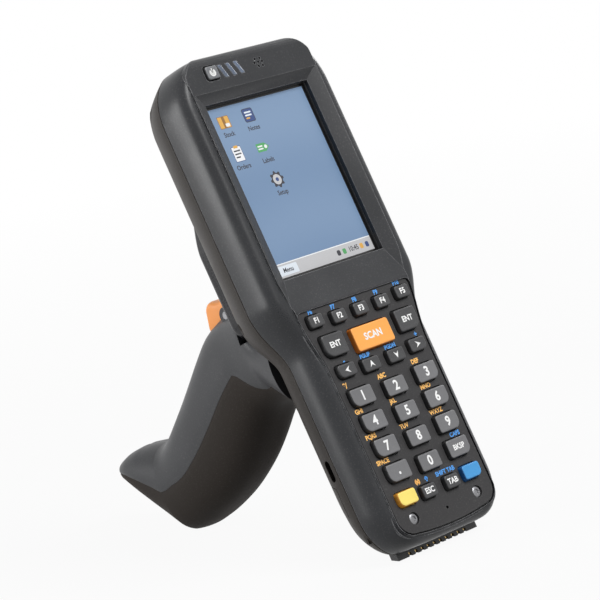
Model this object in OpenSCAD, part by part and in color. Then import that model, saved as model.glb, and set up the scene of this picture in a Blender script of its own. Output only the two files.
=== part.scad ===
// Portable data terminal with a pistol grip, standing like an easel on its tail and the heel of its grip.
// Every sub-part is drawn lying down: X to the right, Y towards the head, Z out of the display glass,
// with the origin in the middle of the picture. stand() then sets it up on the surface at z = 0.

/* [Body] */
// Width of the head, across the display
head_w = 74; // [72:0.5:80]
// Width of the tail, across the keypad
tail_w = 62.6; // [62:0.2:68]
// Depth of the head, from the rim to the back
head_depth = 39; // [38:0.5:46]
// Depth of the tail, from the rim to the back
tail_depth = 26; // [25:0.5:31]
// Height of the rim above the display glass
rim_z = 5; // [4.6:0.1:6]
// From the display opening to the head end
forehead = 17.5; // [17.2:0.1:26]
// From the display opening to the keypad plate
chin = 12.9; // [11:0.1:20]
// From the keypad plate to the tail end
tail_rim = 3.2; // [3:0.1:8]
// Thickness of the shell walls
wall = 2; // [1.6:0.1:2.3]

/* [Display] */
// Width of the picture
picture_w = 48.6; // [44:0.2:49.4]
// Height of the picture
picture_h = 64.8; // [60:0.2:80]
// Black edge between the picture and the opening
black_edge = 1.2; // [0.8:0.1:1.5]
// Thickness of the touch glass
glass_t = 1.6; // [1:0.1:2.2]
// Thickness of the display module behind the glass
module_t = 4; // [3:0.1:4.6]
// Height of the upright wall round the glass
bezel_wall = 2.7; // [2.2:0.1:3.2]

/* [Keypad] */
// Length of the keypad plate
keypad_len = 86.5; // [82:0.5:96]
// Thickness of the keypad plate
plate_t = 1.5; // [1.2:0.1:1.8]
// How far the plate lies below the rim
plate_drop = 0.3; // [0.2:0.1:0.8]
// How far a key stands above the plate
key_proud = 1.9; // [1.5:0.1:2.5]
// How far a key travels when pressed
key_travel = 1; // [0.6:0.1:1.1]
// Clearance round a key in its hole
key_gap = 0.35; // [0.25:0.05:0.4]
// Width of a number key
digit_w = 10.5; // [9:0.1:11]
// Height of a number key
digit_h = 6.4; // [5.5:0.1:6.6]
// Width of a function key
f_w = 7; // [6:0.1:7.4]
// Width of the scan key
scan_w = 19; // [15:0.5:20]
// Height of the scan key
scan_h = 9; // [7:0.1:9.2]

/* [Battery] */
// Length of the battery
battery_len = 27; // [22:0.5:28]
// Width of the battery
battery_w = 42; // [34:0.5:43]
// Radius of the hinge pin of the battery cover
cover_pin_r = 1; // [0.8:0.05:1.2]
// Radius of the lock of the battery cover
lock_r = 4.5; // [4:0.1:5]

/* [Grip] */
// Thickness of the saddle between the head and the grip
saddle_t = 4.5; // [3.5:0.1:6]
// Width of the saddle
saddle_w = 43; // [42:0.5:48]
// Width of the grip
grip_w = 33; // [30:0.5:36]
// Wall of the hard grip shells
grip_wall = 2.4; // [2:0.1:3]
// Thickness of the rubber skin on the palm side
rubber_t = 1.6; // [1.2:0.1:2]
// Width of the trigger
trigger_w = 13; // [11:0.5:14]
// Radius of the trigger's pivot pin
trigger_pin_r = 1.5; // [1.2:0.1:1.8]
// How far the trigger swings, in degrees
trigger_pull = 8; // [4:1:8]

/* [Hidden] */
$fn = 48;
// Stretch past a face that is cut, so that no cut ends exactly on it
past = 1;
// Gap between a moving piece and what surrounds it
gap = 0.3;
// Radial clearance of a pin that turns in a bore
running = 0.05;

// Outline along the length
opening_w = picture_w + 2 * black_edge;
opening_h = picture_h + 2 * black_edge;
head_end = opening_h / 2 + forehead;
plate_top = -opening_h / 2 - chin;
plate_bottom = plate_top - keypad_len;
tail_end = plate_bottom - tail_rim;
waist_top = plate_top + 7;
waist_bottom = plate_top - 15.5;
seam_head = -9;
seam_tail = -6.4;
back_head = rim_z - head_depth;
back_tail = rim_z - tail_depth;
rim_drop = 0.4;
rim_tail = rim_z - rim_drop;
// Roundings of the head end and the tail end, as length and height: across, at the front and at the back
head_rounds = [[20, 13.5], [3, 3], [8.4, head_depth - 18.5]];
tail_rounds = [[17, 11], [4, 4], [13, tail_depth - 15]];
// The back of the head slopes to its end almost straight: 1 is straight and 2 is an arc
head_slope_bend = 1.3;
// The ends bulge by this much between their corners
head_arch = 1;
tail_arch = 1.5;
// Width and bend of the front edge and of the back edge, at the head and at the tail
front_edge_head = [6, 3.1];
front_edge_tail = [7, 2.2];
back_edge_head = [19, 1.36];
back_edge_tail = [15, 2];
back_edge_end = [18, 1.65];

// Distances from either end, and along the middle, at which the body's outline is taken
end_steps = [0, 0.3, 1, 2.2, 4, 6.4, 9.4, 12.6, 16];
mid_steps = 15;

// Plates and levels under the front
plate_top_half = head_w / 2 - 8.8;
plate_tail_half = tail_w / 2 - 6.6;
// The raised face round the display and the keypad plate: its margin to them, and its height
face_lip = 0.7;
face_step = 0.6;
plate_z = rim_tail - plate_drop;
plate_under = plate_z - plate_t;
ledge_t = 1.6;
ledge_in = 0.9;
key_top = plate_z + key_proud;
flange_t = 0.8;
flange_out = 0.8;
flange_gap = 0.2;
flange_top = plate_under - flange_gap;
flange_z = flange_top - flange_t;
pad_gap = 0.2;
pad_z = flange_z - key_travel - pad_gap;
mat_t = 0.8;
pad_t = 0.4;
mat_z = pad_z - pad_t;
key_board_z = mat_z - mat_t;
key_board_t = 1.2;
board_w = opening_w + 5;
board_z = -glass_t - module_t;
board_t = 1.6;
// The inside of the front lies this much below the wall's thickness
inner_drop = 0.3;
inner_z = rim_z - wall - inner_drop;
gasket_t = 0.9;
glass_edge = 3;
glass_w = opening_w + 2 * glass_edge;
glass_h = opening_h + 2 * glass_edge;

// Battery bay
bay_floor_z = seam_tail - 1;
bay_floor_t = 1;
cover_seam_z = seam_tail - 4.8;
hinge_y = tail_end + 18.7;
hinge_swing_r = 3.5;
// The round of the swing reaches just past the back, so that nothing thin is left between them
hinge_z = body_back(hinge_y) + hinge_swing_r - 0.05;
barrel_r = cover_pin_r + 1.2;
swing_half = tail_w / 2 - 4;
tongue_w = 44;
tongue_top = plate_top - 34.4;
cover_shoulder = tail_end + 31.2;
lock_y = tongue_top - lock_r - 2.7;
lock_seat = 0.5;
lock_inner = wall + lock_seat + gap;
lock_flange_t = 1.4;
strap_slot = [8, 3];
strap_slot_y = cover_shoulder + 4.7;

// Grip
saddle_z = back_head - saddle_t;
grip_y = plate_top;
// Depth below the saddle, finger side, palm side and half width at stations down the grip; the
// sides are measured towards the head from the top of the keypad plate.
GRIP = [
    [-16, 2, -31, 25.5],
    [-10, 3, -25.6, 23.4],
    [-5, 8, -22.2, 21.4],
    [0.5, 19, -20.9, 19.6],
    [6, 18.3, -21.4, 18.2],
    [12, 17.5, -23, 17],
    [19, 16.4, -27.2, 16.5],
    [28, 14.2, -33.6, 16.5],
    [36, 9.7, -38.4, 16.5],
    [44.5, 4.2, -42.3, 16.5],
    [53, -1.3, -45.4, 16.5],
    [61, -6.2, -47.4, 16.5],
    [68, -10.3, -48.7, 16.3],
    [73, -12.8, -49.3, 16],
    [77, -13.8, -49.6, 15.8],
    [80, -13.5, -49.5, 15.6],
    [81, -13.2, -48.5, 15.5],
    [85, -12.1, -43.7, 15],
    [89, -11.3, -38.9, 14.6],
    [93.5, -10.6, -33.5, 14],
    [98, -10.6, -28.2, 13],
    [102, -11.2, -23.7, 11.6],
    [105.5, -12.2, -20.4, 9.6],
    [107.6, -13.8, -18.4, 7],
];
grip_bend = 2.5;
grip_top = GRIP[3];
heel = GRIP[15];

// Trigger, measured down from the saddle and towards the head from the finger side at the saddle
finger_y = grip_y + grip_top[1];
trigger_pivot = [finger_y - 3.8, saddle_z - 9];
trigger_top = saddle_z - 2.6;
trigger_end = saddle_z - 27.9;
trigger_crest = finger_y + 5;

// Where it stands: the tail foot is the origin, and the heel sets how far it leans
foot_y = tail_end - 1.2;
foot_z = seam_tail - 2.8;
heel_y = grip_y + heel[2] + 0.7;
heel_z = saddle_z - heel[0] + 0.3;
lean = atan2(foot_z - heel_z, heel_y - foot_y);

// Keypad rows, measured down from the top of the plate
row_f = 5.3;
row_ent = 14.3;
row_scan = 15.5;
row_arrow = 24.6;
row_last = keypad_len - 13.3;
digit_pitch = (row_last - row_arrow - 10.2) / 4;
row_digit = row_arrow + 10.6;
screw_row = keypad_len - 6.2;
plate_screw_x = 16.6;
f_pitch = (plate_half(plate_top - row_f) - 2.2 - f_w / 2) / 2;
ent_size = [10.6, 8.4];
arrow_size = [0.34 * plate_tail_half, 5];
arrow_x = 0.259 * plate_tail_half;
side_w = digit_w + 0.4;
last_size = [0.2915 * plate_tail_half, 5];
colour_size = [0.3644 * plate_tail_half, 5.4];

// Centre of a key that leaves a margin to the side edge of the plate
function side_x(row, width, margin) = plate_half(plate_top - row) - margin - width / 2;

colour_row = row_last - 0.4;
colour_x = side_x(colour_row, colour_size[0], 3.4);
last_x = (colour_x - colour_size[0] / 2) / 2 - 0.1;

// Keys: name, x, row, width, height, and which outer lower corner is large (-1 left, 1 right)
TOP_KEYS = [
    for (i = [-2:2]) [str("key_f", i + 3), i * f_pitch, row_f - (abs(i) == 2 ? 0.9 : 0), f_w, 4.8, 0],
    for (s = [-1, 1]) [s < 0 ? "key_enter_left" : "key_enter_right",
        s * side_x(row_ent, ent_size[0], 2.1), row_ent, ent_size[0], ent_size[1], s],
    ["key_scan", 0, row_scan, scan_w, scan_h, 0],
    for (s = [-1, 1]) [s < 0 ? "key_left" : "key_right",
        s * side_x(row_arrow, arrow_size[0], 2.3), row_arrow - 0.45, arrow_size[0], arrow_size[1], s],
    for (s = [-1, 1]) [s < 0 ? "key_up" : "key_down",
        s * arrow_x, row_arrow + 0.45, arrow_size[0], arrow_size[1], 0],
];
DIGIT_NAMES = [["key_1", "key_2", "key_3"], ["key_4", "key_5", "key_6"], ["key_7", "key_8", "key_9"],
    ["key_point", "key_0", "key_backspace"]];
DIGIT_KEYS = [
    for (r = [0:3], c = [-1:1])
        let (row = row_digit + r * digit_pitch - (c == 0 ? 0 : 0.75))
        [DIGIT_NAMES[r][c + 1], c * side_x(row, side_w, 2.7 + 0.3 * r), row,
            c == 0 ? digit_w : side_w, digit_h + (c == 0 ? 0 : 0.4), c],
];
LAST_KEYS = [
    for (s = [-1, 1]) [s < 0 ? "key_yellow" : "key_blue",
        s * colour_x, colour_row, colour_size[0], colour_size[1], s],
    for (s = [-1, 1]) [s < 0 ? "key_escape" : "key_tab",
        s * last_x, row_last + 0.3, last_size[0], last_size[1], 0],
];
KEYS = concat(TOP_KEYS, DIGIT_KEYS, LAST_KEYS);
POWER_KEY = ["power_key", -18.5, 0, 6, 5.2, 0];
power_y = head_end - 7.1;
speaker_at = [5, power_y - 0.2];
shell_screws_at = [[29, head_end - 9.9], [29, plate_top + 5], [tail_w / 2 - 5.5, plate_top - 30.5]];
saddle_screws_at = [[16, plate_top + 38], [16, plate_top + 15]];
grip_screws_at = [[18, 2], [44, -10], [67, -24]];

SOLID_NODES = ["front_shell", "rear_shell", "keypad_panel", "panel_screws", "display_window",
    "window_gasket", "display_module", "main_board", "keypad_board", "key_mat", "light_pipes",
    "power_key", "speaker", "microphone", "scan_engine", "scan_window", "dock_connector",
    "dock_contacts", "battery", "battery_cover", "cover_pin", "cover_lock", "shell_screws",
    "saddle_plate", "saddle_screws", "grip_left", "grip_right", "grip_overmould", "grip_screws",
    "trigger", "trigger_pin", "trigger_spring"];

// ---------------------------------------------------------------- shapes in common

function mix(a, b, t) = a + (b - a) * t;
function ease(t) = let (u = max(0, min(1, t))) u * u * (3 - 2 * u);
// How much a round of length r and height h takes off at distance d from its end
function rounded_off(d, r, h, bend = 2) =
    d >= r ? 0 : h * (1 - pow(1 - pow(1 - max(d, 0) / r, bend), 1 / bend));
// How far along the waist y is: 0 at the head, 1 at the tail
function narrowing(y) = ease((waist_top - y) / (waist_top - waist_bottom));
function seam_shift(y) = ease((plate_top - 0.5 - y) / 18);
function back_shift(y) = ease((plate_top + 4.5 - y) / 20);
function seam_z(y) = mix(seam_head, seam_tail, seam_shift(y));

// How much the rounds of both ends take off at y, set in by g: 0 across, 1 at the front, 2 at the back
function ends_off(y, g, which, keep = 1) =
    let (h = head_rounds[which], t = tail_rounds[which], s = g * keep)
    rounded_off(head_end - g - y, h[0] - s, h[1] - s, which == 2 ? head_slope_bend : 2)
        + rounded_off(y - tail_end - g, t[0] - s, t[1] - s);
// Half width, front and back of the body at y, set in by g
function body_half(y, g = 0) = mix(head_w, tail_w, narrowing(y)) / 2 - g - ends_off(y, g, 0);
function body_front(y, g = 0) = mix(rim_z, rim_tail, narrowing(y)) - g - ends_off(y, g, 1, 0.5);
function body_back(y, g = 0) = mix(back_head, back_tail, back_shift(y)) + g + ends_off(y, g, 2);
function front_edge(y) = mix(front_edge_head, front_edge_tail, narrowing(y));
function back_edge(y) = mix(mix(back_edge_head, back_edge_tail, back_shift(y)), back_edge_end,
    ease((tail_end + 26 - y) / 22));

// One edge of a section as a quarter of a superellipse, from the side to the face
function edge(side, face, seam, width, bend, steps) = [
    for (k = [0:steps]) let (a = 90 * k / steps)
        [side - width * (1 - pow(cos(a), 2 / bend)), seam + (face - seam) * pow(sin(a), 2 / bend)],
];
function mirrored(points) = [for (k = [len(points) - 1:-1:0]) [-points[k][0], points[k][1]]];
// Ends bulge: a point is drawn back towards the middle of the body the further out it lies
function arched(x, y) = y + (y > 0 ? -head_arch : tail_arch) * pow(2 * x / head_w, 2)
    * ease(1 - min(head_end - y, y - tail_end) / 16);
function section(points, y) = [for (p = points) [p[0], arched(p[0], y), p[1]]];

// Half sections above and below the parting line, closed along it
function front_section(y, g, steps, below = 0, step = face_step, bend = undef) =
    let (half = body_half(y, g), e = is_undef(bend) ? front_edge(y) : bend,
        q = edge(half, body_front(y, g) - step, seam_z(y), e[0] - g * 0.5, e[1], steps))
    section(concat(below > 0 ? [[half, seam_z(y) - below]] : [], q, mirrored(q),
        below > 0 ? [[-half, seam_z(y) - below]] : []), y);
function rear_section(y, g, steps, above = 0) =
    let (half = body_half(y, g), e = back_edge(y),
        q = edge(half, min(body_back(y, g), seam_z(y) - 1.2), seam_z(y), e[0] - g, e[1], steps),
        points = concat(above > 0 ? [[half, seam_z(y) + above]] : [], q, mirrored(q),
            above > 0 ? [[-half, seam_z(y) + above]] : []))
    section([for (k = [len(points) - 1:-1:0]) points[k]], y);

// Places along the body, set in by g, close together where it rounds off
function stations(g, low = tail_end, high = head_end) = [
    for (y = concat([for (d = end_steps) tail_end + g + d],
        [for (k = [1:mid_steps]) mix(tail_end + 18, waist_bottom - 2, k / (mid_steps + 1))],
        [for (k = [0:mid_steps]) mix(waist_bottom, plate_top + 8, k / mid_steps)],
        [for (k = [1:3]) mix(plate_top + 8, head_end - 17, k / 4)],
        [for (k = [len(end_steps) - 1:-1:0]) head_end - g - end_steps[k]]))
    if (y >= low && y <= high) y,
];

// Solid through a row of closed outlines that all have the same number of points
module loft(rings) {
    n = len(rings[0]);
    m = len(rings);
    ones = [for (p = rings[0]) 1];
    middles = [for (r = [rings[0], rings[m - 1]]) [for (a = [0:2]) [for (p = r) p[a]] * ones / n]];
    sides = [for (i = [0:m - 2], j = [0:n - 1]) let (a = i * n + j, b = i * n + (j + 1) % n)
        each [[a, b, b + n], [a, b + n, a + n]]];
    caps = [for (j = [0:n - 1]) let (k = (j + 1) % n)
        each [[m * n, k, j], [m * n + 1, (m - 1) * n + j, (m - 1) * n + k]]];
    polyhedron(concat([for (r = rings) each r], middles), concat(sides, caps), convexity = 8);
}

// Solid between two open sheets of points, outer and inner, row by row
module skin(outer, inner) {
    n = len(outer[0]);
    m = len(outer);
    half = m * n;
    function quad(a, b, c, d) = [[a, b, c], [a, c, d]];
    // The cells past the middle are split the other way, so that the skin is the same on both sides
    cells = [for (i = [0:m - 2], j = [0:n - 2]) [i * n + j, 2 * j >= n - 1]];
    faces = concat(
        [for (c = cells) let (a = c[0])
            each c[1] ? quad(a + 1, a + n + 1, a + n, a) : quad(a, a + 1, a + n + 1, a + n)],
        [for (c = cells) let (a = half + c[0])
            each c[1] ? quad(a + 1, a, a + n, a + n + 1) : quad(a, a + n, a + n + 1, a + 1)],
        [for (i = [0:m - 2]) let (a = i * n, b = a + n - 1) each concat(
            quad(a, a + n, half + a + n, half + a), quad(b, half + b, half + b + n, b + n))],
        [for (j = [0:n - 2]) let (a = j, b = (m - 1) * n + j) each concat(
            quad(a, half + a, half + a + 1, a + 1), quad(b, b + 1, half + b + 1, half + b))]);
    polyhedron(concat([for (r = outer) each r], [for (r = inner) each r]), faces, convexity = 8);
}

module stand() {
    rotate([lean, 0, 0]) translate([0, -foot_y, -foot_z]) children();
}

// Takes off what would reach below the surface that it stands on
module on_surface() {
    difference() {
        stand() children();
        translate([-head_w, -head_w, -head_w]) cube([2 * head_w, 6 * head_w, head_w]);
    }
}

module both_sides() {
    for (s = [0, 1]) mirror([s, 0, 0]) children();
}

module block(low, high) {
    translate(low) cube(high - low);
}

module rounded_plate(w, h, r, z, t) {
    translate([0, 0, z]) linear_extrude(t) {
        square([w - 2 * r, h], center = true);
        square([w, h - 2 * r], center = true);
        for (x = [-1, 1], y = [-1, 1]) translate([x * (w / 2 - r), y * (h / 2 - r)]) circle(r);
    }
}

// Cylinder along X, from x1 to x2, at [y, z]
module cross_rod(at, r, x1, x2) {
    translate([x1, at[0], at[1]]) rotate([0, 90, 0]) cylinder(r = r, h = x2 - x1);
}

// ---------------------------------------------------------------- keypad plate and keys

function plate_half(y) = mix(plate_top_half, plate_tail_half, ease((plate_top - y) / 24));
plate_corner = 5.5;
plate_arch = 2.2;
plate_rows = [0, 0.6, 2, 5, 8, 11, 14, 17, 20, 24, 60];
function plate_arched(x, g) = [x, plate_bottom + g + plate_arch * pow(x / plate_tail_half, 2)];
function plate_side(g) = concat(
    [for (d = plate_rows)
        [plate_half(plate_top - d) - g - rounded_off(d, 2, 2), plate_top - max(d, g)]],
    [for (a = [0:15:90])
        let (p = plate_arched(plate_tail_half - g - plate_corner * (1 - cos(a)), g))
        [p[0], p[1] + plate_corner * (1 - sin(a))]],
    [for (k = [2, 1, 0]) plate_arched((plate_tail_half - plate_corner) * k / 3, g)]);
function plate_outline(g) = let (side = plate_side(g)) concat(side,
    [for (k = [len(side) - 2:-1:0]) [-side[k][0], side[k][1]]]);

// Outline of a key: small corners, and a large outer lower corner where big is -1 or 1
function arc(cx, cy, r, from) = [for (a = [0:18:90]) [cx + r * cos(from + a), cy + r * sin(from + a)]];
function key_outline(w, h, big, grow = 0) =
    let (a = w / 2 + grow, b = h / 2 + grow, r = 1.1 + grow, far = (big == 0 ? 1.1 : h * 0.42) + grow,
        left = big < 0 ? far : r, right = big > 0 ? far : r)
    concat(arc(a - r, b - r, r, 0), arc(-a + r, b - r, r, 90), arc(-a + left, -b + left, left, 180),
        arc(a - right, -b + right, right, 270));

module key_prism(k, grow, z1, z2, y = undef) {
    translate([k[1], is_undef(y) ? plate_top - k[2] : y, z1])
        linear_extrude(z2 - z1) polygon(key_outline(k[3], k[4], k[5], grow));
}

module key_body(k, top, under, y = undef) {
    step = 0.4;
    key_prism(k, 0, under - flange_gap - flange_t, top - step, y);
    key_prism(k, -step, top - step, top, y);
    key_prism(k, flange_out, under - flange_gap - flange_t, under - flange_gap, y);
}

function key_colour(name) =
    name == "key_scan" ? "#f39c3e" : name == "key_yellow" ? "#ffe169" : name == "key_blue" ? "#4096d7"
    : len([for (row = DIGIT_NAMES, n = row) if (n == name) n]) > 0 ? "#6f6f72" : "#37383a";

module key(k) color(key_colour(k[0])) stand() key_body(k, key_top, plate_under);

module keypad_panel() color("#48484b") stand() difference() {
    translate([0, 0, plate_under]) linear_extrude(plate_t) polygon(plate_outline(0));
    for (k = KEYS) key_prism(k, key_gap, plate_under - past, plate_z + past);
    both_sides() translate([plate_screw_x, plate_top - screw_row, 0]) {
        translate([0, 0, plate_under - past]) cylinder(r = 1.3, h = plate_t + 2 * past);
        translate([0, 0, plate_z - 0.9]) cylinder(r = 2.2, h = past * 2);
    }
    translate([0, plate_top - screw_row - 1, plate_under - past]) cylinder(r = 0.6, h = plate_t + 2 * past);
}

module panel_screws() color("silver") stand() both_sides()
    translate([plate_screw_x, plate_top - screw_row, 0]) difference() {
        union() {
            translate([0, 0, plate_z - 0.9]) cylinder(r = 2, h = 0.8);
            translate([0, 0, plate_under - 5]) cylinder(r = 1, h = 5.2 + plate_t - 0.9);
        }
        translate([0, 0, plate_z - 0.5]) cylinder(r = 1.05, h = past);
    }

module power_key() color("#7a7c80") stand()
    key_body(POWER_KEY, rim_z + 0.9, inner_z, power_y);

// ---------------------------------------------------------------- front shell

// Slanted slots of the light pipes: x of the middle
pipe_xs = [-12.9, -8.9, -5.1];
module pipe(grow, z1, z2) {
    lean_x = 0.9;
    length = 4.8;
    width = 0.8 + grow;
    for (x = pipe_xs) translate([x, power_y - 0.2, z1]) linear_extrude(z2 - z1) polygon([
        [lean_x - width, -length / 2 - grow], [lean_x + width, -length / 2 - grow],
        [-lean_x + width, length / 2 + grow], [-lean_x - width, length / 2 + grow]]);
}

speaker_holes = [[-1.4, 1.3], [1, 1.3], [-2.2, 0], [-0.3, 0], [1.6, 0], [-0.8, -1.5], [1.2, -1.5]];

// Sloping sides of the sunk bezel, from the rim down to the upright wall round the glass
bezel_half = head_w / 2 - 6.9;
module bezel_slope() {
    low = [[opening_w / 2, -opening_h / 2], [opening_w / 2, opening_h / 2 + 0.1]];
    high = [[bezel_half, plate_top + 0.3], [bezel_half, opening_h / 2 + 3.8]];
    rings = [for (q = [[low, bezel_wall], [high, rim_z], [high, rim_z + past]])
        [[-q[0][0][0], q[0][0][1], q[1]], [-q[0][1][0], q[0][1][1], q[1]],
            [q[0][1][0], q[0][1][1], q[1]], [q[0][0][0], q[0][0][1], q[1]]]];
    loft(rings);
}

face_round = [8, 12];
// Outline of the raised face: round the bezel, then at the same margin round the keypad plate
function face_half(y) = mix(plate_top_half, bezel_half, ease((y - plate_top) / 14)) + face_lip
    - rounded_off(head_end - y, face_round[0], face_round[1]);
function face_outline() =
    let (side = concat([[face_half(head_end), head_end + past]],
        [for (k = [0:6]) let (y = head_end - face_round[0] * (1 - cos(15 * k))) [face_half(y), y]],
        [for (k = [5:-1:0]) let (y = plate_top + 14 * k / 5) [face_half(y), y]],
        [for (p = plate_side(-face_lip)) if (p[1] < plate_top - 1.9) p]))
    concat(side, [for (k = [len(side) - 2:-1:0]) [-side[k][0], side[k][1]]]);

module front_boss(at, seam) {
    translate([at[0], at[1], seam]) cylinder(r = 2.4, h = rim_tail - wall * 0.8 - seam);
}

function shell_seam(at) = at[1] > waist_bottom ? seam_head : seam_tail;

module front_shell() color("#46474a") stand() difference() {
    union() {
        difference() {
            union() {
                loft([for (y = stations(0)) front_section(y, 0, 9)]);
                intersection() {
                    loft([for (y = stations(0)) front_section(y, 0, 3, step = 0, bend = [2.5, 2])]);
                    translate([0, 0, rim_tail - 6]) linear_extrude(8) polygon(face_outline());
                }
            }
            loft([for (y = stations(wall)) front_section(y, wall, 5, past, inner_drop)]);
        }
        block([-glass_w / 2 - 1.5, -glass_h / 2 - 1.5, gasket_t],
            [glass_w / 2 + 1.5, glass_h / 2 + 1.5, rim_tail - wall * 0.5]);
        translate([0, 0, plate_under - ledge_t]) linear_extrude(ledge_t + 0.8) polygon(plate_outline(-1.5));
        for (at = shell_screws_at) both_sides() front_boss(at, shell_seam(at));
        both_sides() translate([plate_screw_x, plate_top - screw_row, plate_under - 6])
            cylinder(r = 2.6, h = 6);
    }
    bezel_slope();
    block([-opening_w / 2, -opening_h / 2, 0], [opening_w / 2, opening_h / 2, rim_z]);
    translate([0, 0, plate_under]) linear_extrude(rim_z) polygon(plate_outline(-0.25));
    // Opening behind the keys
    intersection() {
        translate([0, 0, plate_under - 3]) linear_extrude(4) polygon(plate_outline(ledge_in));
        block([-head_w, plate_top - row_last - 4, -head_w], [head_w, plate_top, head_w]);
    }
    for (k = TOP_KEYS) key_prism(k, flange_out + flange_gap, plate_under - ledge_t - past, plate_under + past);
    key_prism(POWER_KEY, key_gap, 0, rim_z + past, power_y);
    pipe(0.1, 0, rim_z + past);
    for (h = speaker_holes) translate([speaker_at[0] + h[0], speaker_at[1] + h[1], 0])
        cylinder(r = 0.45, h = rim_z + past);
    for (at = shell_screws_at) both_sides() translate([at[0], at[1], shell_seam(at) - past])
        cylinder(r = 1.25, h = 9);
    both_sides() translate([plate_screw_x, plate_top - screw_row, plate_under - 6 - past])
        cylinder(r = 1, h = 8);
}

// ---------------------------------------------------------------- behind the front

module display_window() color("#86a2c6") stand() rounded_plate(glass_w, glass_h, 2, -glass_t, glass_t);

module window_gasket() color("#141415") stand() difference() {
    rounded_plate(glass_w, glass_h, 2, 0, gasket_t);
    block([-opening_w / 2 + 0.3, -opening_h / 2 + 0.3, -past],
        [opening_w / 2 - 0.3, opening_h / 2 - 0.3, gasket_t + past]);
}

module display_module() color("#5d6166") stand()
    rounded_plate(opening_w + 2, opening_h + 4, 1, board_z, module_t);

module main_board() color("#1f5a3c") stand() {
    low_y = plate_top + 9;
    high_y = head_end - 4.6;
    difference() {
        block([-board_w / 2, low_y, board_z - board_t], [board_w / 2, high_y, board_z]);
        both_sides() translate([shell_screws_at[0][0], shell_screws_at[0][1], -head_w])
            cylinder(r = 4, h = 2 * head_w);
    }
    // Switch under the power key, lamps under the light pipes, and the processor behind
    block([-20.5, power_y - 2, board_z], [-16.5, power_y + 2, inner_z - flange_gap - flange_t - 1.3]);
    for (x = pipe_xs) block([x - 0.8, power_y - 1.5, board_z], [x + 0.8, power_y + 1.5, -2]);
    block([-9, -12, board_z - board_t - 1.6], [9, 6, board_z - board_t]);
}

// Sheet behind the keys, set in by g from the outline of the plate
module key_sheet(g, z, t) {
    intersection() {
        translate([0, 0, z]) linear_extrude(t) polygon(plate_outline(g));
        block([-head_w, plate_top - row_last - 5.6 + g, z - past], [head_w, plate_top, z + t + past]);
    }
}

module keypad_board() color("#1f5a3c") stand() key_sheet(2, key_board_z - key_board_t, key_board_t);

module key_mat() color("#2a2a2c") stand() {
    key_sheet(2.2, key_board_z, mat_t);
    for (k = KEYS) translate([k[1], plate_top - k[2], mat_z - 0.1]) cylinder(r = 1.6, h = pad_t + 0.1);
}

module light_pipes() color("#9db4cc") stand() pipe(0, -2, rim_z + 0.05);

module speaker() color("#303236") stand() translate([speaker_at[0], speaker_at[1], inner_z - 4]) {
    cylinder(r = 3, h = 4);
    translate([0, 0, 1]) cylinder(r = 4.2, h = 2.6);
}

module microphone() color("#b8b8b8") stand()
    translate([0, plate_top - screw_row - 1, plate_under - ledge_t - 1.4]) cylinder(r = 1.6, h = 1.4);

// The scan window lies behind an opening in the sloping end of the head
scan_opening = [28, 9];
scan_z = mix(back_head, seam_head, 0.6);
scan_tilt = 20;
module at_scan_opening() {
    face_y = head_end - 2.2;
    translate([0, face_y, scan_z]) rotate([-scan_tilt, 0, 0]) children();
}

module scan_window() color("#5a1414") stand() at_scan_opening()
    block([-scan_opening[0] / 2 - 1.5, -wall - 1.5, -scan_opening[1] / 2 - 1],
        [scan_opening[0] / 2 + 1.5, -wall - 0.1, scan_opening[1] / 2 + 1]);

module scan_engine() color("#2b2c2e") stand() {
    front_y = head_end - 8;
    block([-11, front_y - 16, scan_z - 6], [11, front_y, scan_z + 5.4]);
    translate([-5, front_y - 0.2, scan_z]) rotate([-90, 0, 0]) cylinder(r = 3, h = 0.8);
    block([2, front_y - 0.2, scan_z - 3], [9, front_y + 0.4, scan_z + 3]);
}

// ---------------------------------------------------------------- rear shell and tail

// Columns inside the rear shell, down to its wall: for the shell screws, the saddle screws and the boards
module rear_columns() {
    deep = 2 * head_w;
    for (at = shell_screws_at) both_sides()
        translate([at[0], at[1], shell_seam(at) - deep]) cylinder(r = 3.6, h = deep);
    for (at = saddle_screws_at) both_sides()
        translate([at[0], at[1], back_head + 9 - deep]) cylinder(r = 3, h = deep);
    both_sides() for (y = [26, plate_top + 16])
        translate([19, y, board_z - board_t - deep]) cylinder(r = 2, h = deep);
    both_sides() translate([8, head_end - 14, scan_z - 6 - deep]) cylinder(r = 1.6, h = deep);
}

// Space of the battery cover, grown by g on every side. Both its ends are round about the hinge.
module cover_space(g) {
    top = cover_seam_z + g;
    deep = 2 * head_w;
    round_r = 3;
    hinge = [hinge_y, hinge_z];
    intersection() {
        cross_rod(hinge, cover_shoulder - hinge_y + g, -head_w, head_w);
        block([-head_w, hinge_y, top - deep], [head_w, head_end, top]);
    }
    translate([0, 0, top - deep]) linear_extrude(deep) {
        translate([-tongue_w / 2 - g, hinge_y])
            square([tongue_w + 2 * g, tongue_top + g - hinge_y - round_r]);
        translate([-tongue_w / 2 - g + round_r, hinge_y])
            square([tongue_w + 2 * g - 2 * round_r, tongue_top + g - hinge_y]);
        for (s = [-1, 1]) translate([s * (tongue_w / 2 + g - round_r), tongue_top + g - round_r])
            circle(round_r);
    }
    cross_rod(hinge, hinge_swing_r + g, -swing_half - g, swing_half + g);
}

// Room in the rear shell for the cover's skin, which swings down past the hinge
module swing_room() {
    block([-swing_half - gap, hinge_y - hinge_swing_r - gap, hinge_z - head_w],
        [swing_half + gap, hinge_y, hinge_z]);
}

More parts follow.
